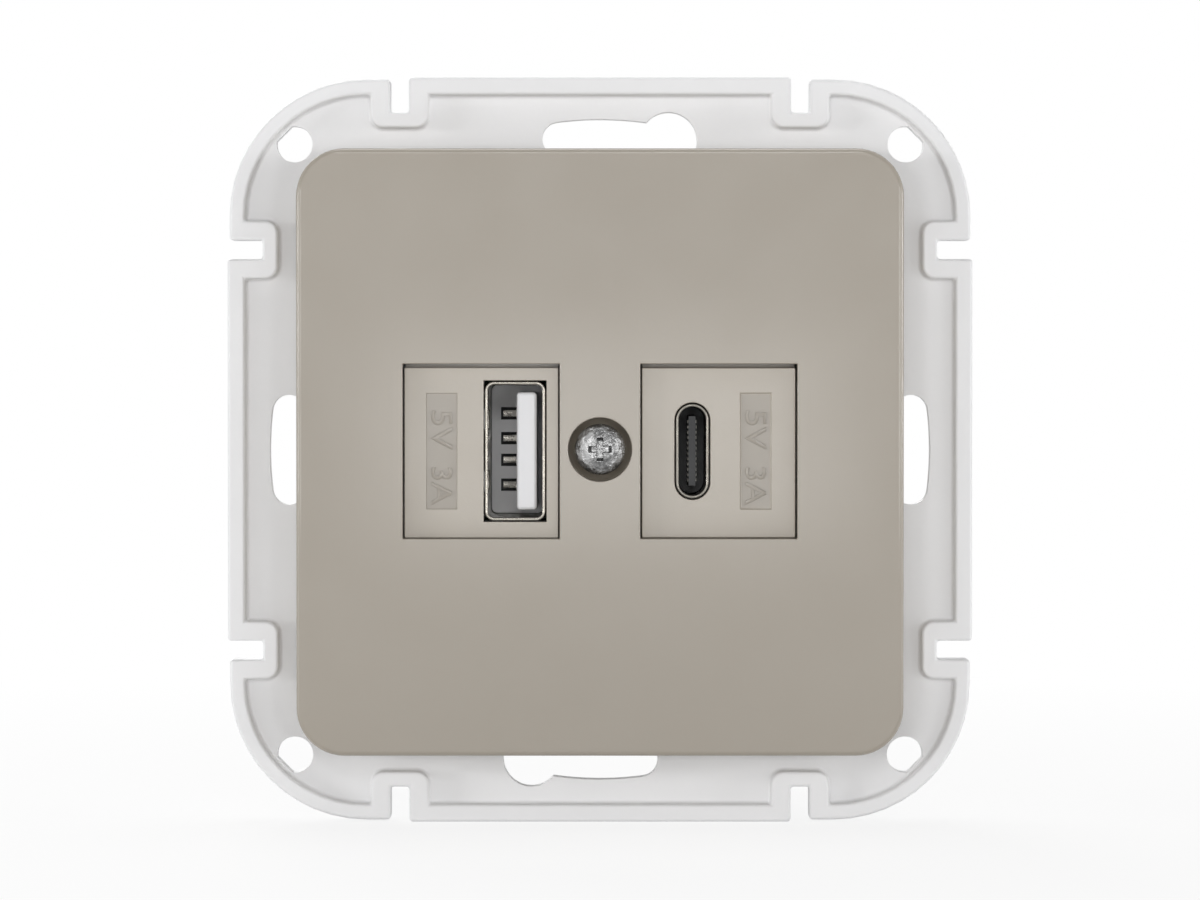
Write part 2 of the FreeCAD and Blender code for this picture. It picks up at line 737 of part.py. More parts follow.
def make_front_housing():
    """Front half of the casing: flange on the plate, deck behind the cover, posts for the long screws."""
    body = make_body("front_housing")
    add(body, "tub", rounded("case_side", "case_side", CASE_CORNER), "-case_split", "deck_ahead")
    flange = rounded(FLANGE_SIDE, FLANGE_SIDE, "flange_corner")
    add(body, "flange", flange, "plate_floor", FLANGE_FRONT)
    hollow = rounded(CASE_INNER, CASE_INNER, CASE_INNER_CORNER)
    cut(body, "tub_hollow", hollow, "-case_split", "deck_ahead - deck_wall")
    add(body, "middle_boss", disc("boss_radius"), "-boss_reach", COVER_SEAT, "0", "screw_rise")
    nut = disc("insert_nut_radius + thread_gap")
    cut(body, "nut_bore", nut, f"{COVER_SEAT} - insert_nut_length", COVER_SEAT, "0", "screw_rise")
    tip = disc("cover_screw_radius + screw_gap")
    cut(body, "tip_bore", tip, "-boss_reach", COVER_SEAT, "0", "screw_rise")
    post = add(body, "post", disc(shared("post_radius")), "-board_deep", "deck_ahead - deck_wall / 2",
               POST, POST)
    repeat_round(body, "posts", [post], QUARTER_TURNS)
    pilot = cut(body, "pilot", disc("small_screw_radius + thread_gap"), "-board_deep",
                "long_screw_bite + screw_gap - board_deep", POST, POST)
    repeat_round(body, "pilots", [pilot], QUARTER_TURNS)
    port_a = square_cut(f"{SHELL_A_WIDTH} + 2 * port_gap", f"{SHELL_A_HEIGHT} + 2 * port_gap")
    cut(body, "port_a_opening", port_a, "0", "deck_ahead", "-" + PORT_A_X)
    port_c = stadium(f"({SHELL_C_WIDTH} + 2 * port_gap)", f"({SHELL_C_HEIGHT} + 2 * port_gap)")
    cut(body, "port_c_opening", port_c, "0", "deck_ahead", PORT_C_X)
    hole = cut(body, "flange_hole", disc("small_screw_radius + screw_gap"), "plate_floor", FLANGE_FRONT,
               "0", PLATE_SCREW)
    repeat_round(body, "flange_holes", [hole], QUARTER_TURNS)
    return keep(body)


def make_rear_housing():
    """Rear half of the casing: wire entries at the back, screwdriver holes below, vents above."""
    body = make_body("rear_housing")
    add(body, "shell", rounded("case_side", "case_side", CASE_CORNER), "-case_deep", "-case_split")
    hollow = rounded(CASE_INNER, CASE_INNER, CASE_INNER_CORNER)
    cut(body, "shell_hollow", hollow, f"-{CASE_FLOOR}", "-case_split")
    post = add(body, "rear_post", disc(shared("post_radius")), "case_wall / 2 - case_deep",
               f"-{POWER_BOARD_BACK}", POST, POST)
    repeat_round(body, "rear_posts", [post], QUARTER_TURNS)
    recess = cut(body, "head_recess", disc("small_screw_head + screw_gap"), "-case_deep", f"-{LONG_SEAT}",
                 POST, POST)
    repeat_round(body, "head_recesses", [recess], QUARTER_TURNS)
    hole = cut(body, "shank_hole", disc("small_screw_radius + screw_gap"), f"-{LONG_SEAT}",
               f"-{POWER_BOARD_BACK}", POST, POST)
    repeat_round(body, "shank_holes", [hole], QUARTER_TURNS)
    for side, sign in (("left", "-"), ("right", "")):
        pole = sign + POLE
        entry = disc("wire_entry_radius")
        cut(body, f"wire_entry_{side}", entry, "-case_deep", f"-{CASE_FLOOR}", pole, WIRE_Z)
        cut_from_below(body, f"driver_hole_{side}", disc("driver_hole_radius"), "-case_side / 2",
                       f"-{CASE_INNER} / 2 + terminal_edge_gap", pole, CLAMP_MIDDLE)
    for row in range(VENTS):
        height = f"vent_first + {row} * vent_pitch"
        vent = rounded(shared("vent_width"), "vent_height", "vent_height / 4")
        cut(body, f"vent_{row + 1}", vent, "-case_deep", f"-{CASE_FLOOR}", "0", height)
    return keep(body)


def make_cover():
    """Square centre plate with a drafted side, two windows and a sunk seat for the middle screw."""
    body = make_body("cover", z="-cover_drop")
    base = rounded(COVER_BASE, COVER_BASE, "cover_corner")
    pad = add(body, "cover_slab", base, "plate_floor", "cover_ahead")
    bind(pad, "TaperAngle", f"-atan(cover_draft / {COVER_HEIGHT})")
    doc.recompute()
    round_front_edge(body, "cover_rounding", sheet.cover_ahead, "min(cover_edge; cover_wall / 2)")
    side = f"({COVER_BASE} - 2 * cover_wall)"
    hollow = rounded(side, side, "(cover_corner - cover_wall)")
    cavity = cut(body, "cover_hollow", hollow, "plate_floor", "cover_ahead - cover_face")
    bind(cavity, "TaperAngle", f"atan(cover_draft / {COVER_HEIGHT})")
    middle = "screw_rise + cover_drop"
    post = square_cut("(window_bar - 2 * cover_post_gap)", "cover_post_height")
    add(body, "screw_post", post, COVER_SEAT, "cover_ahead - cover_face / 2", "0", middle)
    cut(body, "head_hole", disc("screw_hole_radius"), SCREW_SEAT, "cover_ahead", "0", middle)
    shank = disc("cover_screw_radius + screw_gap")
    cut(body, "shank_passage", shank, COVER_SEAT, SCREW_SEAT, "0", middle)
    for side_name, sign in (("left", "-"), ("right", "")):
        window = square_cut("window_width", "window_height")
        cut(body, f"window_{side_name}", window, "cover_ahead - cover_face", "cover_ahead",
            sign + WINDOW_X, "cover_drop")
    return keep(body)


def make_insert(name, sign, port, port_x, label_x):
    """Cap in a window, held behind the cover by its lips, with a port hole and a sunk label pad."""
    body = make_body(name, x=sign + WINDOW_X)
    cap = square_cut(INSERT_WIDTH, INSERT_HEIGHT)
    add(body, name + "_cap", cap, "deck_ahead", INSERT_FRONT)
    lips = square_cut(INSERT_WIDTH, f"{INSERT_HEIGHT} + 2 * lip_reach")
    lip_front = "cover_ahead - cover_face - lip_gap"
    add(body, name + "_lips", lips, f"{lip_front} - lip_thickness", lip_front)
    hollow = square_cut(f"{INSERT_WIDTH} - 2 * insert_wall", f"{INSERT_HEIGHT} - 2 * insert_wall")
    cut(body, name + "_hollow", hollow, "deck_ahead", f"{INSERT_FRONT} - insert_face")
    hole_x = f"{sign}({port_x} - {WINDOW_X})"
    cut(body, name + "_port_hole", port, f"{INSERT_FRONT} - insert_face", INSERT_FRONT, hole_x)
    label = square_cut("label_width", "label_height")
    pad_x = f"{sign}({label_x} - {WINDOW_X})"
    cut(body, name + "_label", label, f"{INSERT_FRONT} - label_sunk", INSERT_FRONT, pad_x)
    return keep(body)


def make_inserts():
    port_a = square_cut(f"{SHELL_A_WIDTH} + 2 * port_gap", f"{SHELL_A_HEIGHT} + 2 * port_gap")
    make_insert("usb_a_insert", "-", port_a, PORT_A_X, LABEL_A_X)
    port_c = stadium(f"({SHELL_C_WIDTH} + 2 * port_gap)", f"({SHELL_C_HEIGHT} + 2 * port_gap)")
    make_insert("usb_c_insert", "", port_c, PORT_C_X, LABEL_C_X)


def make_usb_a_shell():
    """Folded sheet shell with two spring windows and two solder legs."""
    body = make_body("usb_a_shell", x="-" + PORT_A_X)
    outer = rounded(SHELL_A_WIDTH, SHELL_A_HEIGHT, "port_a_corner")
    add(body, "shell_a_tube", outer, "-board_deep", PORT_FRONT)
    inner = rounded("port_a_width", "port_a_height", "(port_a_corner - shell_sheet)")
    cut(body, "shell_a_bore", inner, "-board_deep", PORT_FRONT)
    wall = f"({SHELL_A_WIDTH} - shell_sheet) / 2"
    for side, sign in (("upper", ""), ("lower", "-")):
        spring = square_cut("2 * shell_sheet", "spring_width")
        cut(body, f"spring_window_{side}", spring, f"{PORT_FRONT} - spring_setback - spring_length",
            f"{PORT_FRONT} - spring_setback", f"-({wall})", f"{sign}spring_offset")
    for side, sign in (("left", "-"), ("right", "")):
        leg = square_cut("shell_sheet", "leg_width")
        add(body, f"leg_{side}", leg, f"-({PORT_BOARD_BACK} + leg_reach)", "-board_deep", f"{sign}{wall}")
    return keep(body)


def make_usb_a_insulator():
    """White tongue on a base that fills the back of the shell, with four pockets beside the tongue."""
    body = make_body("usb_a_insulator", x="-" + PORT_A_X)
    width = "(port_a_width - 2 * thread_gap)"
    height = "(port_a_height - 2 * thread_gap)"
    base_front = f"({PORT_FRONT} - port_a_reach)"
    base = rounded(width, height, "(port_a_corner - shell_sheet)")
    add(body, "base_a", base, "-board_deep", base_front)
    tongue = square_cut("tongue_a_thickness", "tongue_a_height")
    add(body, "tongue_a", tongue, base_front, f"{PORT_FRONT} - tongue_a_setback", "tongue_a_shift")
    for index, height in enumerate(contact_heights(), start=1):
        pocket = square_cut("pocket_a_width", "pocket_a_height")
        cut(body, f"pocket_a_{index}", pocket, "-board_deep", base_front,
            f"{TONGUE_A_LEFT} - pocket_a_width / 2", height)
    return keep(body)


def contact_heights():
    return ("contact_a_outer", "contact_a_inner", "-contact_a_inner", "-contact_a_outer")


def make_usb_a_contacts():
    """Four strips along the tongue, each ending in a pin through the board."""
    strips = []
    front = f"contact_a_setback + tongue_a_setback - {PORT_FRONT}"
    x = f"{TONGUE_A_LEFT} - contact_a_thickness / 2 - {PORT_A_X}"
    thick, wide = "contact_a_thickness", "contact_a_width"
    length = f"board_deep - ({front})"
    pin_length = "port_board_thickness + leg_reach"
    for index, height in enumerate(contact_heights(), start=1):
        name = f"contact_a_{index}"
        strips.append(join(name, [
            block(name + "_strip", thick, length, wide, x, front, height),
            block(name + "_pin", thick, pin_length, f"{wide} / 2", x, "board_deep", height),
        ]))
    keep(group("usb_a_contacts", strips))


def make_usb_c_shell():
    """Seamless drawn shell with rounded ends."""
    body = make_body("usb_c_shell", x=PORT_C_X)
    add(body, "shell_c_tube", stadium(SHELL_C_WIDTH, SHELL_C_HEIGHT), f"-{SHELL_C_BACK}", PORT_FRONT)
    cut(body, "shell_c_bore", stadium("port_c_width", "port_c_height"), f"-{SHELL_C_BACK}", PORT_FRONT)
    return keep(body)


def make_usb_c_insulator():
    """Black base in the back of the small shell, with a thin tongue."""
    body = make_body("usb_c_insulator", x=PORT_C_X)
    base_front = f"({PORT_FRONT} - port_c_reach)"
    width = "(port_c_width - 2 * thread_gap)"
    height = "(port_c_height - 2 * thread_gap)"
    add(body, "base_c", stadium(width, height), f"-{SHELL_C_BACK}", base_front)
    tongue = square_cut("tongue_c_thickness", "tongue_c_height")
    add(body, "tongue_c", tongue, base_front, f"{PORT_FRONT} - tongue_c_setback")
    return keep(body)


def make_usb_c_contacts():
    """Rows of flat contacts on both sides of the thin tongue, which run on inside the moulded base."""
    front = f"contact_c_setback + tongue_c_setback - {PORT_FRONT}"
    length = "port_c_reach - tongue_c_setback - contact_c_setback"
    strips = []
    for side, sign in (("left", "-"), ("right", "+")):
        x = f"{PORT_C_X} {sign} (tongue_c_thickness + contact_c_thickness) / 2"
        for index in range(CONTACT_COUNT_C):
            height = f"({index} - {(CONTACT_COUNT_C - 1) / 2}) * contact_c_pitch"
            name = f"contact_c_{side}_{index + 1}"
            strips.append(block(name, "contact_c_thickness", length, "contact_c_width", x, front, height))
    keep(group("usb_c_contacts", strips))


def make_usb_c_riser():
    """Block that lifts the small port from the board to the cover."""
    length = f"board_deep - {SHELL_C_BACK}"
    keep(block("usb_c_riser", "riser_width", length, "riser_height", PORT_C_X, SHELL_C_BACK, "0"))


def make_cover_screw():
    """Cross-recess screw with a low dome, sunk in the cover."""
    seat = f"-{SCREW_SEAT}"
    top = f"{seat} - cover_screw_rim - cover_screw_dome"
    rise = "screw_rise"
    # The dome is a ball whose cap is as wide as the head and as high as the dome,
    # and the blank starts ahead of the ball, so that their faces don't touch at its top
    head_height = "cover_screw_rim + 2 * cover_screw_dome"
    blank = rod("cover_screw_blank", "cover_screw_head", head_height, "0", f"{top} - cover_screw_dome", rise)
    ball = doc.addObject("Part::Sphere", "cover_screw_ball")
    ball_radius = "((cover_screw_head^2 + cover_screw_dome^2) / (2 * cover_screw_dome))"
    bind(ball, "Radius", ball_radius)
    bind(ball, "Placement.Base.y", f"{top} + {ball_radius}")
    bind(ball, "Placement.Base.z", rise)
    head = doc.addObject("Part::Common", "cover_screw_crown")
    head.Base = blank
    head.Tool = ball
    shank = rod("cover_screw_shank", "cover_screw_radius", "cover_screw_length + cover_screw_rim / 2",
                "0", f"{seat} - cover_screw_rim / 2", rise)
    solid = join("cover_screw_solid", [head, shank])
    keep(carve("cover_screw", solid, [cross("cover_screw_driver", "0", top, rise, "cover_screw_cross")]))


def make_screw_insert():
    """Brass nut pressed into the middle boss."""
    start, length = f"-{COVER_SEAT}", "insert_nut_length"
    blank = rod("screw_insert_blank", "insert_nut_radius", length, "0", start, "screw_rise")
    bore = rod("screw_insert_bore", "cover_screw_radius + thread_gap", length, "0", start, "screw_rise")
    keep(carve("screw_insert", blank, [bore]))


def make_plate_screws():
    """Four screws that hold the flange on the support plate, one in the middle of each side."""
    bite = "flange_thickness + plate_floor + plate_screw_bite"
    places = (
        ("top", "0", PLATE_SCREW),
        ("right", PLATE_SCREW, "0"),
        ("bottom", "0", "-" + PLATE_SCREW),
        ("left", "-" + PLATE_SCREW, "0"),
    )
    screws = [screw(f"plate_screw_{side}", x, z, f"-{FLANGE_FRONT}", bite, True) for side, x, z in places]
    keep(group("plate_screws", screws))


def corners():
    """Names and places of the four long screws."""
    for across, x_sign in (("left", "-"), ("right", "")):
        for upward, z_sign in (("top", ""), ("bottom", "-")):
            yield f"{upward}_{across}", x_sign + POST, z_sign + POST


def make_housing_screws():
    """Four long screws from the back, through both boards into the front posts."""
    bite = f"{LONG_SEAT} - board_deep + long_screw_bite"
    screws = [screw(f"long_screw_{corner}", x, z, LONG_SEAT, bite, False) for corner, x, z in corners()]
    keep(group("housing_screws", screws))


def make_board_spacers():
    """Four sleeves that keep the boards apart."""
    sleeves = []
    for corner, x, z in corners():
        name = f"spacer_{corner}"
        tube = rod(name + "_blank", "spacer_radius", "board_spacing", x, PORT_BOARD_BACK, z)
        hole = rod(name + "_hole", "small_screw_radius + screw_gap", "board_spacing", x, PORT_BOARD_BACK, z)
        sleeves.append(carve(name, tube, [hole]))
    keep(group("board_spacers", sleeves))


def cut_board_holes(body, prefix, low, high):
    """Holes that both boards share: long screws and the pins of the header."""
    hole = cut(body, prefix + "_screw_hole", disc("small_screw_radius + screw_gap"), low, high,
               POST, POST)
    repeat_round(body, prefix + "_screw_holes", [hole], QUARTER_TURNS)
    for index, height in enumerate(header_heights(), start=1):
        pin_hole = square_cut("header_pin + lead_gap", "header_pin + lead_gap")
        cut(body, f"{prefix}_pin_hole_{index}", pin_hole, low, high, HEADER_X, height)


def header_heights():
    return [f"({index} - {(HEADER_PINS - 1) / 2}) * header_pitch" for index in range(HEADER_PINS)]


def make_port_board():
    """Board that carries the two ports."""
    body = make_body("port_board")
    low, high = f"-{PORT_BOARD_BACK}", "-board_deep"
    add(body, "port_board_slab", rounded(BOARD_SIDE, BOARD_SIDE, BOARD_CORNER), low, high)
    cut_board_holes(body, "port_board", low, high)
    pin_x = f"{TONGUE_A_LEFT} - contact_a_thickness / 2 - {PORT_A_X}"
    for index, height in enumerate(contact_heights(), start=1):
        pin_hole = square_cut("contact_a_thickness + lead_gap", "contact_a_width / 2 + lead_gap")
        cut(body, f"contact_hole_{index}", pin_hole, low, high, pin_x, height)
    wall = f"({SHELL_A_WIDTH} - shell_sheet) / 2"
    for side, sign in (("left", "-"), ("right", "+")):
        leg_hole = square_cut("shell_sheet + lead_gap", "leg_width + lead_gap")
        cut(body, f"leg_hole_{side}", leg_hole, low, high, f"-{PORT_A_X} {sign} {wall}")
    return keep(body)


def make_power_board():
    """Board of the mains converter, with its parts on the back."""
    body = make_body("power_board")
    low, high = f"-{POWER_BOARD_BACK}", f"-{POWER_BOARD_FRONT}"
    add(body, "power_board_slab", rounded(BOARD_SIDE, BOARD_SIDE, BOARD_CORNER), low, high)
    cut_board_holes(body, "power_board", low, high)
    for side, sign in (("left", "-"), ("right", "")):
        tail = square_cut("tail_width + lead_gap", "tail_thickness + lead_gap")
        cut(body, f"tail_hole_{side}", tail, low, high, sign + POLE, TAIL_Z)
    return keep(body)


def make_header():
    """Plastic strip and square pins that join the boards."""
    body = make_body("board_header")
    length = f"{HEADER_PINS} * header_pitch"
    low, high = f"-{POWER_BOARD_FRONT}", f"-{PORT_BOARD_BACK}"
    add(body, "header_strip", square_cut("header_width", length), low, high, HEADER_X)
    for index, height in enumerate(header_heights(), start=1):
        hole = square_cut("header_pin", "header_pin")
        cut(body, f"header_hole_{index}", hole, low, high, HEADER_X, height)
    keep(body)
    pins = []
    length = "port_board_thickness + board_spacing + power_board_thickness + 2 * header_pin_reach"
    for index, height in enumerate(header_heights(), start=1):
        pins.append(block(f"header_pin_{index}", "header_pin", length, "header_pin",
                          HEADER_X, "board_deep - header_pin_reach", height))
    keep(group("board_pins", pins))


def make_transformer():
    """Ferrite core with three legs, a flanged bobbin on its middle leg and the taped winding."""
    x, z = shared("transformer_x"), shared("transformer_z")
    width, leg, thick = shared("core_width"), shared("core_leg"), shared("core_thickness")
    depth = shared("bobbin_depth")
    base = f"({POWER_BOARD_BACK} + core_stand)"
    window_width = f"({width} / 2 - {leg})"
    window_height = "(core_height - 2 * core_yoke)"
    window_start = f"{base} + core_yoke"
    shift = f"({leg} / 2 + {window_width} / 2)"
    blank = block("core_blank", width, "core_height", thick, x, base, z)
    windows = []
    for side, sign in (("left", "-"), ("right", "+")):
        window_x = f"{x} {sign} {shift}"
        windows.append(block(f"core_window_{side}", window_width, window_height, f"2 * {thick}",
                             window_x, window_start, z))
    keep(carve("transformer_core", blank, windows))
    spool_width = f"({leg} + 2 * {window_width} - 2 * part_gap)"
    tube_width = f"({leg} + 2 * part_gap + 2 * bobbin_wall)"
    tube_depth = f"({thick} + 2 * part_gap + 2 * bobbin_wall)"
    spool_height = f"({window_height} - 2 * part_gap)"
    spool_start = f"{window_start} + part_gap"
    leg_hole = block("bobbin_hole", f"{leg} + 2 * part_gap", "2 * core_height",
                     f"{thick} + 2 * part_gap", x, f"{spool_start} - core_height / 2", z)
    rail_reach = f"{spool_start} - {POWER_BOARD_BACK}"
    rail_shift = f"({depth} - bobbin_rail) / 2"
    spool = join("bobbin_blank", [
        block("bobbin_tube", tube_width, spool_height, tube_depth, x, spool_start, z),
        block("bobbin_front_flange", spool_width, "bobbin_wall", depth, x, spool_start, z),
        block("bobbin_back_flange", spool_width, "bobbin_wall", depth,
              x, f"{spool_start} + {spool_height} - bobbin_wall", z),
        block("bobbin_upper_rail", spool_width, rail_reach, "bobbin_rail",
              x, POWER_BOARD_BACK, f"{z} + {rail_shift}"),
        block("bobbin_lower_rail", spool_width, rail_reach, "bobbin_rail",
              x, POWER_BOARD_BACK, f"{z} - {rail_shift}"),
    ])
    keep(carve("transformer_bobbin", spool, [leg_hole]))
    length = f"{spool_height} - 2 * bobbin_wall"
    start = f"{spool_start} + bobbin_wall"
    coil = block("winding_blank", f"{spool_width} - 2 * part_gap", length, f"{depth} - 2 * winding_gap",
                 x, start, z)
    inside = block("winding_hole", tube_width, length, tube_depth, x, start, z)
    keep(carve("transformer_winding", coil, [inside]))


def make_can(name, radius, length, x, z):
    """Round electrolytic capacitor with a rounded end, standing on the board."""
    can = rod(name + "_can", radius, length, x, POWER_BOARD_BACK, z)
    rounded_can = doc.addObject("Part::Fillet", name)
    rounded_can.Base = can
    doc.recompute()
    top = max(range(len(can.Shape.Edges)), key=lambda index: can.Shape.Edges[index].BoundBox.YMin)
    edge_radius = sheet.can_edge
    rounded_can.Edges = [(top + 1, edge_radius, edge_radius)]
    return rounded_can


def make_capacitors():
    """Two round capacitors on the mains side, two on the ports' side and a moulded box capacitor."""
    for side in ("input", "output"):
        can = f"{side}_can"
        keep(group(f"{side}_capacitors", [
            make_can(f"{can}_{place}", shared(f"{can}_radius"), f"{can}_length",
                     shared(f"{can}_x"), shared(f"{can}_{place}_z"))
            for place in ("upper", "lower")
        ]))
    size = "box_capacitor"
    keep(block("suppression_capacitor", shared(f"{size}_width"), f"{size}_length", shared(f"{size}_height"),
               shared(f"{size}_x"), POWER_BOARD_BACK, shared(f"{size}_z")))


def make_input_parts():
    """Fuse and drum-core choke on the mains side."""
    keep(rod("fuse", shared("fuse_radius"), "fuse_length",
             shared("fuse_x"), POWER_BOARD_BACK, shared("fuse_z")))
    x, z, flange = shared("choke_x"), shared("choke_z"), shared("choke_radius")
    upper = f"{POWER_BOARD_BACK} + choke_length - choke_flange"
    keep(join("input_choke", [
        rod("choke_lower_flange", flange, "choke_flange", x, POWER_BOARD_BACK, z),
        rod("choke_drum", shared("choke_waist"), "choke_length", x, POWER_BOARD_BACK, z),
        rod("choke_upper_flange", flange, "choke_flange", x, upper, z),
    ]))


def make_chips():
    """Flat semiconductors in the space between the boards."""
    chips = (("bridge_rectifier", "rectifier"), ("power_switch", "switch"), ("optocoupler", "coupler"))
    for name, size in chips:
        keep(block(name, shared(f"{size}_width"), f"{size}_thickness", shared(f"{size}_height"),
                   shared(f"{size}_x"), f"{POWER_BOARD_FRONT} - {size}_thickness", shared(f"{size}_z")))
    side = shared("controller_side")
    keep(block("port_controller", side, "controller_thickness", side,
               shared("controller_x"), PORT_BOARD_BACK, shared("controller_z")))


def make_clamp(side, x):
    """Brass cage with a wire hole, a threaded hole from below and a tail that runs to the board."""
    name = f"clamp_{side}"
    width, height = shared("clamp_width"), shared("clamp_height")
    start = f"({CLAMP_BACK} - clamp_length)"
    tail_start = f"({POWER_BOARD_FRONT} - tail_reach)"
    cage = join(name + "_blank", [
        block(name + "_cage", width, "clamp_length", height, x, start, f"{CLAMP_TOP} - {height} / 2"),
        block(name + "_tail", "tail_width", f"{CLAMP_BACK} - {tail_start}", "tail_thickness",
              x, tail_start, TAIL_Z),
    ])
    return carve(name, cage, [
        rod(name + "_wire_hole", "wire_hole_radius", "clamp_length", x, start, WIRE_Z),
        upright_rod(name + "_thread", "clamp_screw_radius + thread_gap", f"{WIRE_Z} - {CLAMP_BOTTOM}",
                    x, CLAMP_MIDDLE, CLAMP_BOTTOM),
    ])


def make_clamp_screw(side, x):
    """Slotted screw that reaches up into the wire hole."""
    name = f"clamp_screw_{side}"
    head_bottom = f"{CLAMP_BOTTOM} - clamp_screw_head_height"
    blank = join(name + "_blank", [
        upright_rod(name + "_head", "clamp_screw_head", "clamp_screw_head_height",
                    x, CLAMP_MIDDLE, head_bottom),
        upright_rod(name + "_shank", "clamp_screw_radius", "clamp_screw_reach",
                    x, CLAMP_MIDDLE, CLAMP_BOTTOM),
    ])
    slot = block(name + "_slot", "3 * clamp_screw_head", "cross_width", "clamp_screw_head_height",
                 x, f"{CLAMP_MIDDLE} - cross_width / 2", head_bottom)
    return carve(name, blank, [slot])


def make_terminal():
    """Two-pole mains terminal: wires enter from the back and the clamp screws are turned from below."""
    length = f"{TERMINAL_BACK} - {POWER_BOARD_BACK}"
    height = shared("terminal_height")
    blank = block("terminal_blank", shared("terminal_width"), length, height,
                  "0", POWER_BOARD_BACK, f"({TERMINAL_BOTTOM} + {height} / 2)")
    chamber_width = f"({shared('clamp_width')} + 2 * part_gap)"
    chamber_height = f"({CLAMP_TOP} + part_gap - {TERMINAL_BOTTOM})"
    chamber_start = f"{CLAMP_BACK} - clamp_length - part_gap"
    slot_length = f"{CLAMP_BACK} - {POWER_BOARD_BACK} - clamp_length"
    holes, clamps, screws = [], [], []
    for side, sign in (("left", "-"), ("right", "")):
        x = sign + POLE
        holes += [
            block(f"chamber_{side}", chamber_width, "clamp_length + 2 * part_gap",
                  chamber_height, x, chamber_start, f"{TERMINAL_BOTTOM} + {chamber_height} / 2"),
            rod(f"wire_guide_{side}", "wire_guide_radius", "clamp_rear_wall", x, CLAMP_BACK, WIRE_Z),
            block(f"tail_slot_{side}", "tail_width + lead_gap", slot_length, "tail_thickness + lead_gap",
                  x, POWER_BOARD_BACK, TAIL_Z),
        ]
        clamps.append(make_clamp(side, x))
        screws.append(make_clamp_screw(side, x))
    keep(carve("terminal_block", blank, holes))
    keep(group("terminal_clamps", clamps))
    keep(group("terminal_screws", screws))


def check_and_write():
    """Stop if anything failed, then write each sub-part to its own file."""
    doc.recompute()
    for thing in doc.Objects:
        if "Invalid" in thing.State or "Error" in thing.State:
            raise RuntimeError(f"{thing.Name} failed: {thing.State}")
        if thing.TypeId == "Sketcher::SketchObject" and not thing.FullyConstrained:
            raise RuntimeError(thing.Name + " is not fully constrained")
    for piece in pieces:
        if piece.Shape.isNull() or not piece.Shape.isValid():
            raise RuntimeError(piece.Name + " has no valid shape")
    os.makedirs("parts", exist_ok=True)
    for piece in pieces:
        piece.Shape.exportStep(f"parts/{piece.Label}.step")
        print(f"{piece.Label}: {len(piece.Shape.Solids)} solids, {piece.Shape.Volume:.1f} mm3")


fill_sheet()
make_support_plate()
make_front_housing()
make_rear_housing()
make_cover()
make_inserts()
make_usb_a_shell()
make_usb_a_insulator()
make_usb_a_contacts()
make_usb_c_shell()
make_usb_c_insulator()
make_usb_c_contacts()
make_usb_c_riser()
make_cover_screw()
make_screw_insert()
make_plate_screws()
make_housing_screws()
make_board_spacers()
make_port_board()
make_power_board()
make_header()
make_transformer()
make_capacitors()
make_input_parts()
make_chips()
make_terminal()
check_and_write()
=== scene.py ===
"""USB wall socket: the looks of the socket, built round its packed construction model.

Lengths are metres. X points right, Z up and the front faces -Y. Every new piece stands where
its solid stands, so places "ahead" of the wall are negative on Y and places "deep" are positive.
"""

import math

import bmesh
import bpy
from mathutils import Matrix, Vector


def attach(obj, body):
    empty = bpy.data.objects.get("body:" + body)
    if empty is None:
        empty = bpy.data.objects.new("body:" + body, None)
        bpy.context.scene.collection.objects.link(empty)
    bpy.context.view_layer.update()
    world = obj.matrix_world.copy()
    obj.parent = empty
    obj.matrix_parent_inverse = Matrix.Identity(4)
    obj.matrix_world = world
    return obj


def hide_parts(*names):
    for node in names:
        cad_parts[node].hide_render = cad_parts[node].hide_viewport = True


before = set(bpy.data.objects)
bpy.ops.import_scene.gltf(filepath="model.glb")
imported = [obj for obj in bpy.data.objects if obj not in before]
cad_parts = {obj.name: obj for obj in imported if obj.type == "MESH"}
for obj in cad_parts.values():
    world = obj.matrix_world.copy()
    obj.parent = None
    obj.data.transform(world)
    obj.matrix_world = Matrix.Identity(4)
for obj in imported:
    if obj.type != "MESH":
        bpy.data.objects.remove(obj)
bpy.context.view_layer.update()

bl_info = {
    "name": "USB wall socket",
    "version": (1, 0, 0),
    "blender": (4, 5, 0),
    "location": "3D View > Sidebar > Socket",
    "description": "Builds a wall socket with two charging ports, part by part",
    "category": "Object",
}

MM = 0.001
TOUCH = 4e-6
HAIR = TOUCH / 2
SMOOTH_ANGLE = math.radians(35)
SHARP_ANGLE = math.radians(45)
FLAT_ANGLE = math.radians(1)
ROUND_STEPS = 12
EDGE_STEPS = 5
HOLE_STEPS = 64
QUARTERS = 4
SIDES = ((0, 1), (1, 0), (0, -1), (-1, 0))
PHOTO_WIDTH = 1200
SENSOR_WIDTH = 36


def length(name, description, millimetres):
    """A length that a user may change."""
    return bpy.props.FloatProperty(
        name=name, description=description, default=millimetres * MM, min=0, precision=5,
        subtype="DISTANCE", unit="LENGTH")


def tint(name, description, red, green, blue):
    """A colour, given as it is seen on a screen and kept as the linear colour that a shader reads."""
    linear = [((value / 255 + 0.055) / 1.055) ** 2.4 for value in (red, green, blue)]
    return bpy.props.FloatVectorProperty(
        name=name, description=description, default=linear, size=3, min=0, max=1, subtype="COLOR")


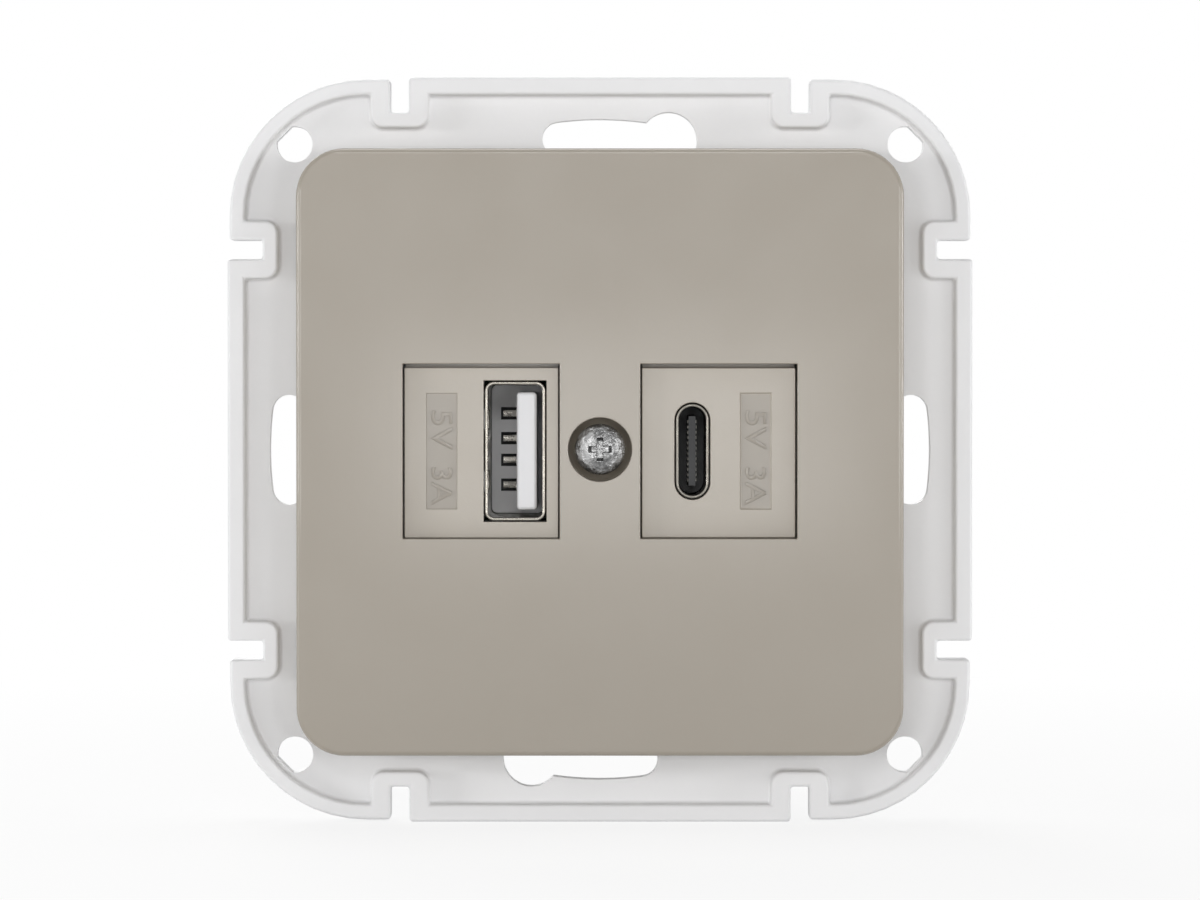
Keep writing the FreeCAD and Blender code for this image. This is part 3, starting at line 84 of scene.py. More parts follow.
class PlateSettings(bpy.types.PropertyGroup):
    side: length("Side", "Width and height of the white plate", 71)
    corner: length("Corner", "Radius of the plate's corners", 13)
    floor: length("Floor", "Thickness of the plate inside its rim", 1.8)
    rim_ahead: length("Rim", "Distance of the rim's front from the wall", 3.4)
    rim_wall: length("Rim wall", "Width of the rim", 1.45)
    rim_round: length("Rim rounding", "Rounding of the rim's edges", 0.3)
    corner_step: length("Corner step", "How far the rim's corners lie inside its straights", 0.2)
    notch_place: length("Notch place", "Distance of a notch from its side's middle", 19.1)
    notch_width: length("Notch width", "Width of the clip notches", 1.8)
    notch_reach: length("Notch reach", "Depth of the clip notches", 3.35)
    jog_corner: length("Jog corner", "Radius where the rim runs round a notch", 1.2)
    slot_circle: length("Slot circle", "Radius of the box screws' circle", 30)
    slot_width: length("Slot width", "Width of the curved slots", 3.2)
    keyhole: length("Keyhole", "Radius of the wide end of two slots", 2.7)
    corner_hole: length("Corner hole", "Radius of the four small corner holes", 1.72)
    hole_flat: length("Corner hole flat", "Distance of a corner hole's flat from its middle", 1.4)
    hole_place: length("Corner hole place", "Distance of a corner hole from the middle", 29.2)
    colour: tint("Colour", "Colour of the white plastic", 238, 238, 239)


class CoverSettings(bpy.types.PropertyGroup):
    side: length("Side", "Width and height of the cover's front", 57)
    draft: length("Draft", "How far the base stands out past the front", 0.2)
    corner: length("Corner", "Radius of the cover's corners", 4.5)
    ahead: length("Ahead", "Distance of the cover's front from the wall", 10.5)
    face: length("Face", "Thickness of the cover's front", 1.8)
    wall: length("Wall", "Thickness of the cover's side walls", 1.5)
    edge: length("Edge", "Rounding of the front edge", 0.45)
    drop: length("Drop", "How far the cover sits low on the plate", 0.1)
    window_width: length("Window width", "Width of both windows", 14.74)
    window_height: length("Window height", "Height of both windows", 16.4)
    window_place: length("Window place", "Distance of a window's middle from the cover's", 11.15)
    screw_hole: length("Screw hole", "Radius of the sunk screw hole", 3.0)
    screw_rise: length("Screw rise", "Height of the screw above the plate's middle", 0.17)
    insert_sunk: length("Insert depth", "How far the inserts lie behind the cover's front", 1.0)
    insert_gap: length("Insert gap", "Gap round the inserts", 0.15)
    insert_drop: length("Insert drop", "How far the inserts sit low in their windows", 0.15)
    letter_height: length("Letter height", "Height of the raised rating", 1.95)
    insert_colour: tint("Insert colour", "Colour of the caps in the windows", 168, 160, 148)
    colour: tint("Colour", "Colour of the taupe plastic", 157, 149, 137)


class PortSettings(bpy.types.PropertyGroup):
    mouth_ahead: length("Mouth", "Distance of both ports' mouths from the wall", 9.4)
    sheet: length("Sheet", "Thickness of the metal shells", 0.3)
    large_place: length("Large port place", "Distance of the large port left of the middle", 7.98)
    large_width: length("Large port width", "Inner width of the large port", 5.12)
    large_height: length("Large port height", "Inner height of the large port", 12.5)
    small_place: length("Small port place", "Distance of the small port right of the middle", 8.68)
    small_width: length("Small port width", "Inner width of the small port", 2.56)
    small_height: length("Small port height", "Inner height of the small port", 8.34)
    shell_colour: tint("Shell colour", "Colour of the nickel plate", 150, 146, 138)
    tongue_colour: tint("Tongue colour", "Colour of the white tongue", 238, 238, 240)
    # Also the colour of the painted shade in the large port's contact pockets.
    dark_colour: tint("Dark plastic", "Colour of the small port's plastic", 30, 31, 33)
    inner_row: length("Inner row", "Distance of the inner contacts from the middle", 1.05)
    outer_row: length("Outer row", "Distance of the outer contacts from the middle", 3.45)

    def rows(self):
        """Heights of the large port's four contacts."""
        return self.outer_row, self.inner_row, -self.inner_row, -self.outer_row


class ScrewSettings(bpy.types.PropertyGroup):
    head: length("Head", "Radius of the cover screw's head", 2.38)
    seat_ahead: length("Seat", "Distance of the screw's seat from the wall", 7.9)
    rim: length("Rim", "Height of the head's straight side", 1.2)
    dome: length("Dome", "Height of the head's dome", 0.5)
    shank: length("Shank", "Radius of the screw's shank", 1.5)
    shank_length: length("Shank length", "Length of the screw's shank", 8)
    cross_width: length("Cross width", "Width of the recess's arms", 0.72)
    cross_length: length("Cross length", "Span of the recess's arms", 2.9)
    cross_depth: length("Cross depth", "Depth of the recess", 1.1)
    colour: tint("Colour", "Colour of the zinc plate", 156, 156, 156)


class CasingSettings(bpy.types.PropertyGroup):
    side: length("Side", "Width and height of the casing", 42)
    corner: length("Corner", "Radius of the casing's corners", 8)
    wall: length("Wall", "Thickness of the casing's walls", 1.8)
    split_deep: length("Split", "Depth of the joint between the two halves", 8)
    deep: length("Depth", "Distance of the casing's back from the wall", 30)
    post_place: length("Post place", "Distance of the long screws from the middle", 15.4)
    vent_width: length("Vent width", "Width of the vents", 14)
    vent_height: length("Vent height", "Height of the vents", 1.6)
    vent_pitch: length("Vent pitch", "Distance from one vent to the next", 3.2)
    wire_hole: length("Wire hole", "Radius of the wire entries", 2.5)
    driver_hole: length("Driver hole", "Radius of the screwdriver holes", 2.6)
    colour: tint("Colour", "Colour of the casing's plastic", 206, 207, 206)


class StageSettings(bpy.types.PropertyGroup):
    distance: length("Camera distance", "Distance of the camera from the plate", 430)
    rise: bpy.props.FloatProperty(
        name="Camera rise", description="How far the camera looks down on the socket",
        default=math.radians(1.0), subtype="ANGLE", unit="ROTATION")
    focal: bpy.props.FloatProperty(
        name="Focal length", description="Focal length in pixels of the photograph", default=4474.5)


# Modelling helpers


def deselect():
    """Leave edit mode and select nothing."""
    if bpy.context.object and bpy.context.object.mode != "OBJECT":
        leave_edit()
    bpy.ops.object.select_all(action="DESELECT")


def choose(piece):
    """Make this piece the only one that operators act on."""
    deselect()
    piece.select_set(True)
    bpy.context.view_layer.objects.active = piece


def edit_all():
    """Enter edit mode on the active piece, with all of it selected."""
    bpy.ops.object.mode_set(mode="EDIT")
    bpy.ops.mesh.select_all(action="SELECT")


def leave_edit():
    bpy.ops.object.mode_set(mode="OBJECT")


def face_outwards():
    """In edit mode, turn all faces outwards, and leave."""
    bpy.ops.mesh.select_all(action="SELECT")
    bpy.ops.mesh.normals_make_consistent(inside=False)
    leave_edit()


def place_in_mesh():
    """Move the active piece's place, turn and size into its mesh."""
    bpy.ops.object.transform_apply(location=True, rotation=True, scale=True)


def pick(piece, kind, test):
    """In edit mode, select what passes the test: corners' places for EDGE, the face for FACE."""
    choose(piece)
    bpy.ops.object.mode_set(mode="EDIT")
    bpy.ops.mesh.select_mode(type=kind)
    bpy.ops.mesh.select_all(action="DESELECT")
    mesh = bmesh.from_edit_mesh(piece.data)
    found = 0
    for part in mesh.edges if kind == "EDGE" else mesh.faces:
        passed = test(part.verts[0].co, part.verts[1].co) if kind == "EDGE" else test(part)
        if passed:
            part.select_set(True)
            found += 1
    mesh.select_flush_mode()
    bmesh.update_edit_mesh(piece.data)
    if not found:
        raise RuntimeError(f"{piece.name}: nothing to select")


def round_edges(piece, test, width, steps):
    """Round the edges whose two ends pass the test."""
    pick(piece, "EDGE", test)
    bpy.ops.mesh.bevel(offset=width, segments=steps, affect="EDGES", clamp_overlap=False)
    bpy.ops.mesh.select_all(action="SELECT")
    bpy.ops.mesh.remove_doubles(threshold=TOUCH)
    leave_edit()


def narrow(piece, way, shares, middle):
    """Scale the end that faces this way on Y about a middle."""
    pick(piece, "FACE", lambda face: face.normal.y * way > 0.9)
    bpy.ops.transform.resize(value=shares, center_override=middle)
    leave_edit()


def paint(piece, finish_name, test):
    """Give the faces whose middles pass the test a second finish, which both callers use for painted shade."""
    piece.data.materials.append(bpy.data.materials[finish_name])
    pick(piece, "FACE", lambda face: test(face.calc_center_median()))
    piece.active_material_index = 1
    bpy.ops.object.material_slot_assign()
    leave_edit()


def box(name, width, height, back, front, x=0.0, z=0.0):
    """A block between two distances on Y, with its middle at x and z."""
    deselect()
    bpy.ops.mesh.primitive_cube_add(size=1, location=(x, (back + front) / 2, z))
    block = bpy.context.object
    block.name = name
    block.scale = (width, back - front, height)
    place_in_mesh()
    return block


def slab(name, width, height, corner, back, front, x=0.0, z=0.0, draft=0.0, edge=0.0):
    """A block with rounded corners, and if asked a narrower front and a rounded front edge."""
    block = box(name, width, height, back, front, x, z)
    if draft:
        shares = ((width - 2 * draft) / width, 1, (height - 2 * draft) / height)
        narrow(block, -1, shares, (x, front, z))
    round_edges(block, lambda a, b: abs(a.y - b.y) > (back - front) / 2, corner, ROUND_STEPS)
    if edge:
        round_edges(block, lambda a, b: max(abs(a.y - front), abs(b.y - front)) < TOUCH, edge, EDGE_STEPS)
    return block


def rod(name, radius, back, front, x=0.0, z=0.0):
    """A round bar along Y."""
    deselect()
    bpy.ops.mesh.primitive_cylinder_add(
        vertices=HOLE_STEPS, radius=radius, depth=back - front, location=(x, (back + front) / 2, z),
        rotation=(math.pi / 2, 0, 0))
    bar = bpy.context.object
    bar.name = name
    place_in_mesh()
    return bar


def settle_order(piece):
    """In edit mode, sort the edges and faces, whose order is chance after an extrusion."""
    mesh = bmesh.from_edit_mesh(piece.data)
    mesh.verts.index_update()

    def rank(part):
        first = sorted(corner.index for corner in part.verts)[:3]
        return sum(index / 1e4 ** place for place, index in enumerate(first))

    for parts in (mesh.edges, mesh.faces):
        parts.sort(key=rank)
        parts.index_update()
    bmesh.update_edit_mesh(piece.data)


def lathe(name, stations, z):
    """A turned piece: each station is a radius and a place on Y, from one end to the other."""
    deselect()
    radius, start = stations[0]
    bpy.ops.mesh.primitive_circle_add(
        vertices=HOLE_STEPS, radius=radius, fill_type="NGON", location=(0, start, z),
        rotation=(math.pi / 2, 0, 0))
    turned = bpy.context.object
    turned.name = name
    place_in_mesh()
    edit_all()
    bpy.ops.mesh.select_mode(type="FACE")
    for new_radius, y in stations[1:]:
        bpy.ops.mesh.extrude_region_move(TRANSFORM_OT_translate={"value": (0, y - start, 0)})
        share = new_radius / radius
        bpy.ops.transform.resize(value=(share, 1, share), center_override=(0, y, z))
        radius, start = new_radius, y
    settle_order(turned)
    face_outwards()
    return turned


def combine(piece, others, operation):
    """Add or remove other solids, which are used up."""
    for other in others:
        choose(piece)
        modifier = piece.modifiers.new("join", "BOOLEAN")
        modifier.operation = operation
        modifier.solver = "EXACT"
        modifier.object = other
        bpy.ops.object.modifier_apply(modifier=modifier.name)
        bpy.data.objects.remove(other)
    if not piece.data.polygons:
        raise RuntimeError(f"{piece.name}: nothing is left")
    return piece


def cut(piece, *tools):
    return combine(piece, tools, "DIFFERENCE")


def join(piece, *others):
    return combine(piece, others, "UNION")


def mark_middles(piece):
    """Split the faces along the piece's two middle lines, so that none of them is a closed ring."""
    choose(piece)
    corners = [Vector(corner) for corner in piece.bound_box]
    middle = sum(corners, Vector()) / len(corners)
    bpy.ops.object.mode_set(mode="EDIT")
    bpy.ops.mesh.select_mode(type="EDGE")
    for across in ((1, 0, 0), (0, 0, 1)):
        bpy.ops.mesh.select_all(action="SELECT")
        bpy.ops.mesh.bisect(plane_co=middle, plane_no=across, threshold=HAIR)
        bpy.ops.mesh.mark_seam()
    leave_edit()


def soften(piece, width, segments=2, clamp=True):
    """Clear leftover seams between flat faces, then round every sharp edge a little."""
    choose(piece)
    edit_all()
    bpy.ops.mesh.remove_doubles(threshold=TOUCH)
    bpy.ops.mesh.dissolve_limited(angle_limit=FLAT_ANGLE, delimit={"SEAM"})
    leave_edit()
    modifier = piece.modifiers.new("edges", "BEVEL")
    modifier.width = width
    modifier.segments = segments
    modifier.limit_method = "ANGLE"
    modifier.angle_limit = SHARP_ANGLE
    modifier.use_clamp_overlap = clamp
    modifier.loop_slide = False
    bpy.ops.object.modifier_apply(modifier=modifier.name)


def shade(piece):
    """Shade smooth across shallow angles and keep flat faces flat."""
    choose(piece)
    bpy.ops.object.shade_smooth_by_angle(angle=SMOOTH_ANGLE)
    modifier = piece.modifiers.new("normals", "WEIGHTED_NORMAL")
    modifier.keep_sharp = True
    bpy.ops.object.modifier_apply(modifier=modifier.name)


def all_round(piece):
    """The piece and three copies, each with its own mesh, turned by quarters about the Y axis."""
    pieces = [piece]
    for quarter in range(1, QUARTERS):
        copy = piece.copy()
        copy.data = piece.data.copy()
        bpy.context.collection.objects.link(copy)
        choose(copy)
        copy.rotation_euler = (0, quarter * math.pi / 2, 0)
        place_in_mesh()
        pieces.append(copy)
    return pieces


def merge(pieces):
    """Put several loose pieces in the first one's mesh."""
    choose(pieces[0])
    for piece in pieces[1:]:
        piece.select_set(True)
    bpy.ops.object.join()
    return pieces[0]


def finish(piece, name, finish_name, slot, *nodes):
    """Name a finished piece, dress it and let it stand for its solids."""
    piece.name = name
    piece.data.name = name
    shade(piece)
    piece.data.materials.clear()
    piece.data.materials.append(bpy.data.materials[finish_name])
    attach(piece, "root")
    if nodes:
        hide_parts(*nodes)


# Finishes


def put(node, **values):
    """Set a node's inputs by their names, with _ for a space."""
    for name, value in values.items():
        node.inputs[name.replace("_", " ")].default_value = value


class Finish:
    """A node material on Object coordinates, built up step by step."""

    def __init__(self, name):
        self.material = bpy.data.materials.new(name)
        self.material.use_nodes = True
        self.tree = self.material.node_tree
        self.shader = self.tree.nodes["Principled BSDF"]
        self.place = self.add("ShaderNodeTexCoord").outputs["Object"]

    def add(self, kind, **settings):
        node = self.tree.nodes.new(kind)
        for setting, value in settings.items():
            setattr(node, setting, value)
        return node

    def link(self, source, target):
        self.tree.links.new(source, target)

    def noise(self, scale, detail=2.0, stretch=(1, 1, 1), roughness=0.5):
        """Noise whose scale is in features for each metre."""
        mapping = self.add("ShaderNodeMapping")
        put(mapping, Scale=stretch)
        self.link(self.place, mapping.inputs["Vector"])
        texture = self.add("ShaderNodeTexNoise")
        put(texture, Scale=scale, Detail=detail, Roughness=roughness)
        self.link(mapping.outputs["Vector"], texture.inputs["Vector"])
        return texture.outputs["Fac"]

    def cells(self, scale):
        texture = self.add("ShaderNodeTexVoronoi")
        put(texture, Scale=scale)
        self.link(self.place, texture.inputs["Vector"])
        return texture.outputs["Distance"]

    def spread(self, value, low, high, start=0.3, end=0.7):
        """Map a pattern to the range from low to high."""
        node = self.add("ShaderNodeMapRange")
        put(node, From_Min=start, From_Max=end, To_Min=low, To_Max=high)
        self.link(value, node.inputs["Value"])
        return node.outputs["Result"]

    def blend(self, share, first, second):
        """Mix two colours by a pattern."""
        node = self.add("ShaderNodeMix", data_type="RGBA")
        self.link(share, node.inputs["Factor"])
        targets = [item for item in node.inputs if item.type == "RGBA"]
        for target, colour in zip(targets, (first, second)):
            target.default_value = (*colour, 1)
        return [item for item in node.outputs if item.type == "RGBA"][0]

    def colour(self, base, mottle, share):
        """Colour that wanders a little round its base."""
        light = [min(1.0, value * (1 + share)) for value in base]
        dark = [value * (1 - share) for value in base]
        self.link(self.blend(mottle, dark, light), self.shader.inputs["Base Color"])

    def roughness(self, pattern, low, high):
        self.link(self.spread(pattern, low, high), self.shader.inputs["Roughness"])

    def bump(self, pattern, height):
        node = self.add("ShaderNodeBump")
        put(node, Distance=height)
        self.link(pattern, node.inputs["Height"])
        self.link(node.outputs["Normal"], self.shader.inputs["Normal"])


def moulded(name, base, rough, grain=3500, height=1e-5, mottle=60, share=0.02, gloss=0.0):
    """Moulded plastic with a fine grain and cloudy colour, and if asked a smoother skin on top."""
    skin = Finish(name)
    skin.colour(base, skin.noise(mottle, 4), share)
    skin.roughness(skin.noise(mottle * 3, 3), rough - 0.04, rough + 0.06)
    skin.bump(skin.noise(grain, 2), height)
    if gloss:
        put(skin.shader, Coat_Weight=gloss, Coat_Roughness=0.1)


def metal(name, base, rough, streak=(1, 1, 1), scale=900, height=4e-6, share=0.06):
    """Plated metal with faint streaks."""
    skin = Finish(name)
    put(skin.shader, Metallic=1)
    pattern = skin.noise(scale, 4, streak)
    skin.colour(base, pattern, share)
    skin.roughness(pattern, rough * 0.7, rough * 1.4)
    skin.bump(pattern, height)


def mottled_zinc(base):
    """Bright zinc plate with crystals that catch the light at odds with each other."""
    skin = Finish("zinc_plate")
    put(skin.shader, Metallic=1)
    crystals = skin.noise(1300, 4, roughness=0.6)
    patches = skin.noise(900, 4, roughness=0.7)
    dark = [value * 0.4 for value in base]
    skin.link(skin.blend(skin.spread(patches, 0, 1, 0.4, 0.58), dark, base),
              skin.shader.inputs["Base Color"])
    skin.roughness(patches, 0.16, 0.34)
    skin.bump(crystals, 1.6e-4)


def laminate():
    """Circuit board under green solder mask, with faint tracks."""
    skin = Finish("green_laminate")
    tracks = skin.cells(260)
    share = skin.spread(tracks, 0, 1, 0.45, 0.55)
    skin.link(skin.blend(share, (0.01, 0.09, 0.035), (0.02, 0.15, 0.06)),
              skin.shader.inputs["Base Color"])
    skin.roughness(skin.noise(400), 0.25, 0.4)
    skin.bump(tracks, 2e-5)


def make_finishes(scene):
    cover, plate, ports = scene.socket_cover, scene.socket_plate, scene.socket_ports
    screw, casing = scene.socket_screw, scene.socket_casing
    moulded("taupe_satin", cover.colour, 0.42, grain=2600, height=6e-6, mottle=45, share=0.018,
            gloss=0.5)
    moulded("taupe_grained", cover.insert_colour, 0.46, grain=3200, height=1.2e-5, mottle=90,
            share=0.03, gloss=0.5)
    # Painted shade: the label pads and their raised letters take 0.8 of the caps' colour, standing in for the
    # shade that falls on the caps.
    pad_painted_shade = [value * 0.8 for value in cover.insert_colour]
    moulded("taupe_painted_shade", pad_painted_shade, 0.42, height=6e-6, gloss=0.4)
    moulded("white_satin", plate.colour, 0.45, grain=1800, height=8e-6, mottle=40, share=0.012)
    moulded("tongue_white", ports.tongue_colour, 0.4)
    # Black plastic for the small port and inner parts, also used as painted shade lining the large port's
    # contact pockets.
    moulded("black_plastic_and_painted_shade", ports.dark_colour, 0.5, share=0.15)
    moulded("casing_grey", casing.colour, 0.55, grain=1500, height=3e-5)
    metal("bright_nickel", ports.shell_colour, 0.27, (1, 0.1, 1))
    # Painted shade: a copy of the shell nickel at 0.6 of its colour, standing in for the shade on the small
    # port's shell.
    painted_shade_nickel_colour = [value * 0.6 for value in ports.shell_colour]
    metal("nickel_painted_shade", painted_shade_nickel_colour, 0.3, (1, 0.1, 1))
    mottled_zinc(screw.colour)
    metal("plain_zinc", (0.6, 0.6, 0.58), 0.3)
    # Painted shade: near-black nickel for the small port's contacts, standing in for the shade deep inside the
    # port.
    metal("contact_painted_shade", (0.16, 0.155, 0.14), 0.35)
    metal("tin_plate", (0.72, 0.71, 0.69), 0.28)
    metal("turned_brass", (0.7, 0.5, 0.2), 0.3, (1, 12, 1))
    laminate()
    moulded("sintered_ferrite", (0.04, 0.04, 0.043), 0.7, height=3e-5, share=0.2)
    moulded("yellow_tape", (0.62, 0.42, 0.05), 0.3, share=0.05)
    moulded("shrink_sleeve", (0.02, 0.025, 0.06), 0.35, share=0.1)
    moulded("yellow_resin", (0.5, 0.33, 0.03), 0.4, share=0.06)
    moulded("black_epoxy", (0.02, 0.02, 0.02), 0.5, share=0.2)
    moulded("brown_resin", (0.09, 0.03, 0.015), 0.4, share=0.1)


INNER_PARTS = {
    # The small port's contacts take painted shade.
    "contact_painted_shade": ("usb_c_contacts",),
    "black_plastic_and_painted_shade": ("usb_c_riser", "board_spacers", "board_header", "transformer_bobbin"),
    "turned_brass": ("screw_insert", "terminal_clamps"),
    "plain_zinc": ("plate_screws", "housing_screws", "terminal_screws"),
    "green_laminate": ("port_board", "power_board"),
    "tin_plate": ("board_pins",),
    "sintered_ferrite": ("transformer_core", "input_choke"),
    "yellow_tape": ("transformer_winding",),
    "shrink_sleeve": ("input_capacitors", "output_capacitors"),
    "yellow_resin": ("suppression_capacitor",),
    "brown_resin": ("fuse",),
    "black_epoxy": ("bridge_rectifier", "power_switch", "optocoupler", "port_controller"),
    "casing_grey": ("terminal_block",),
}


class SOCKET_OT_inner_parts(bpy.types.Operator):
    """Give the parts inside the casing their finishes"""

    bl_idname = "socket.inner_parts"
    bl_label = "Dress inner parts"

    def execute(self, context):
        make_finishes(context.scene)
        for finish_name, nodes in INNER_PARTS.items():
            for node in nodes:
                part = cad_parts[node]
                if not part.material_slots:
                    raise RuntimeError(node + " has no material slot")
                for slot in part.material_slots:
                    slot.material = bpy.data.materials[finish_name]
        return {"FINISHED"}


# White plate


KEYHOLE_SLOT = (-7.5, 12.5)
PLAIN_SLOT = (-7, 7)
BOSS_PLACE = 24 * MM


def arc_slot(name, radius, width, start, end, back, front):
    """A solid for a curved slot with round ends, from one angle to another clockwise from the top."""
    deselect()
    bpy.ops.mesh.primitive_plane_add(
        size=1, location=(0, (back + front) / 2, radius), rotation=(0, math.pi / 2, 0))
    band = bpy.context.object
    band.name = name
    band.scale = (width, back - front, 1)
    place_in_mesh()
    band.rotation_euler = (0, start, 0)
    place_in_mesh()
    edit_all()
    bpy.ops.mesh.spin(steps=ROUND_STEPS, angle=start - end, center=(0, 0, 0), axis=(0, 1, 0))
    face_outwards()
    ends = [rod(name + "_end", width / 2, back, front, radius * math.sin(angle), radius * math.cos(angle))
            for angle in (start, end)]
    return band, *ends


class SOCKET_OT_plate(bpy.types.Operator):
    """Mould the white plate: rim, clip notches, curved screw slots and corner holes"""

    bl_idname = "socket.plate"
    bl_label = "Make white plate"

    def execute(self, context):
        size = context.scene.socket_plate
        past = 2 * MM
        ahead = -size.floor - past
        plate = self.make_rim(size, past)
        mark_middles(plate)
        soften(plate, size.rim_round, 3, clamp=False)
        self.cut_slots(plate, size, past, ahead)
        hole = self.corner_hole(size, past, ahead)
        cut(plate, *all_round(hole))
        for x, z in SIDES:
            join(plate, rod("boss", 2.2 * MM, 4.6 * MM, -size.floor / 2, BOSS_PLACE * x, BOSS_PLACE * z))
        for x, z in SIDES:
            cut(plate, rod("boss_bore", 1.3 * MM, 3.35 * MM, ahead, BOSS_PLACE * x, BOSS_PLACE * z))
        casing = context.scene.socket_casing
        slack = 0.4 * MM
        opening = casing.side + 2 * slack
        cut(plate, slab("opening", opening, opening, casing.corner + slack, 6 * MM, ahead))
        soften(plate, 0.12 * MM)
        finish(plate, "mounting_plate", "white_satin", "white_plastic", "support_plate")
        return {"FINISHED"}

    def make_rim(self, size, past):
        """The plate with its rim, which runs round a notch at both ends of each side."""
        half, front = size.side / 2, -size.rim_ahead
        outer = size.side - 2 * size.corner_step
        plate = slab("white_plate", outer, outer, size.corner, 0, front)
        inner = outer - 2 * size.rim_wall
        cut(plate, slab("recess", inner, inner, size.corner - size.rim_wall, -size.floor, front - past))
        stretch = box("stretch", 2 * size.notch_place, size.rim_wall, 0, front, 0, half - size.rim_wall / 2)
        join(plate, *all_round(stretch))
        jog_start = half - size.notch_reach - size.rim_wall
        jog_end = half - size.corner_step - 0.02 * MM
        jog_spare = 3.7 * MM
        for sign in (-1, 1):
            jog = slab("jog", size.notch_width + jog_spare, jog_end - jog_start, size.jog_corner,
                       -size.floor / 2, front, sign * size.notch_place, (jog_start + jog_end) / 2)
            join(plate, *all_round(jog))
        for sign in (-1, 1):
            notch = box("notch", size.notch_width, 2 * size.notch_reach, past, front - past,
                        sign * size.notch_place, half)
            cut(plate, *all_round(notch))
        return plate

    def cut_slots(self, plate, size, past, ahead):
        """Cut a curved slot in each side, those at the top and bottom with one wide end."""
        keyhole_circle = size.slot_circle + 0.3 * MM
        for quarter in range(QUARTERS):
            upright = quarter % 2 == 0
            turn = quarter * math.pi / 2
            start, end = (turn + math.radians(angle) for angle in (KEYHOLE_SLOT if upright else PLAIN_SLOT))
            cut(plate, *arc_slot("slot", size.slot_circle, size.slot_width, start, end, past, ahead))
            if upright:
                cut(plate, rod("keyhole", size.keyhole, past, ahead,
                               keyhole_circle * math.sin(end), keyhole_circle * math.cos(end)))

    def corner_hole(self, size, past, ahead):
        """The solid of a corner hole, with a flat on its outer side."""
        hole = rod("corner_hole", size.corner_hole, past, ahead)
        choose(hole)
        edit_all()
        outwards = Vector((1, 0, 1)).normalized()
        bpy.ops.mesh.bisect(plane_co=outwards * size.hole_flat, plane_no=-outwards, use_fill=True,
                            clear_inner=True, threshold=HAIR)
        leave_edit()
        hole.location = (size.hole_place, 0, size.hole_place)
        choose(hole)
        place_in_mesh()
        return hole


# Taupe cover and the two inserts


SHANK_BORE = 1.65 * MM
PAD_DEPTH = 0.2 * MM
# Side of the middle, node that the cap stands for and the label pad's place across
CAPS = ((-1, "usb_a_insert", -14.88 * MM), (1, "usb_c_insert", 14.64 * MM))
# Words of the rating, and the heights between which each one runs
RATING = (("5V", 3.82 * MM, 0.14 * MM), ("3A", -1.5 * MM, -5.05 * MM))
LETTER_RELIEF = 0.17 * MM


class SOCKET_OT_cover(bpy.types.Operator):
    """Mould the taupe cover with its windows and the sunk screw hole"""

    bl_idname = "socket.cover"
    bl_label = "Make cover"

    def execute(self, context):
        scene = context.scene
        size, plate, screw = scene.socket_cover, scene.socket_plate, scene.socket_screw
        front, middle = -size.ahead, -size.drop
        base = size.side + 2 * size.draft
        cover = slab("cover_moulding", base, base, size.corner, -plate.floor, front, 0, middle,
                     size.draft, size.edge)
        inner = base - 2 * size.wall
        cut(cover, slab("hollow", inner, inner, size.corner - size.wall, MM, front + size.face, 0, middle))
        join(cover, box("post", 7.1 * MM, 9 * MM, -6.5 * MM, front + size.face / 2, 0, size.screw_rise))
        for sign in (-1, 1):
            cut(cover, box("window", size.window_width, size.window_height, front + size.face + MM,
                           front - MM, sign * size.window_place, 0))
        cut(cover, rod("head_hole", size.screw_hole, -screw.seat_ahead, front - MM, 0, size.screw_rise),
            rod("shank_hole", SHANK_BORE, 0, front, 0, size.screw_rise))
        cut(cover, self.seat_groove(size, front, -screw.seat_ahead))
        soften(cover, 0.13 * MM)
        finish(cover, "centre_plate", "taupe_satin", "taupe_plastic", "cover")
        return {"FINISHED"}

    def seat_groove(self, size, front, seat):
        """The solid of the sloping groove round the screw's seat."""
        groove_size, spare = 0.7 * MM, 0.1 * MM
        groove_floor = groove_size + seat
        groove = rod("groove", size.screw_hole, groove_floor, front, 0, size.screw_rise)
        inner_seat = size.screw_hole - groove_size
        cone = lathe("cone", [(size.screw_hole + spare, groove_floor + spare), (inner_seat, seat)],
                     size.screw_rise)
        column = rod("column", inner_seat, seat + TOUCH, front - MM, 0, size.screw_rise)
        return cut(groove, cone, column)


def port_opening(name, ports, large, gap, back, front):
    """The solid of a port's outer outline, a little larger than the shell."""
    if large:
        return box(name, ports.large_width + 2 * ports.sheet + gap,
                   ports.large_height + 2 * ports.sheet + gap, back, front, -ports.large_place)
    width = ports.small_width + 2 * ports.sheet + gap
    return slab(name, width, ports.small_height + 2 * ports.sheet + gap, width / 2 - HAIR,
                back, front, ports.small_place)


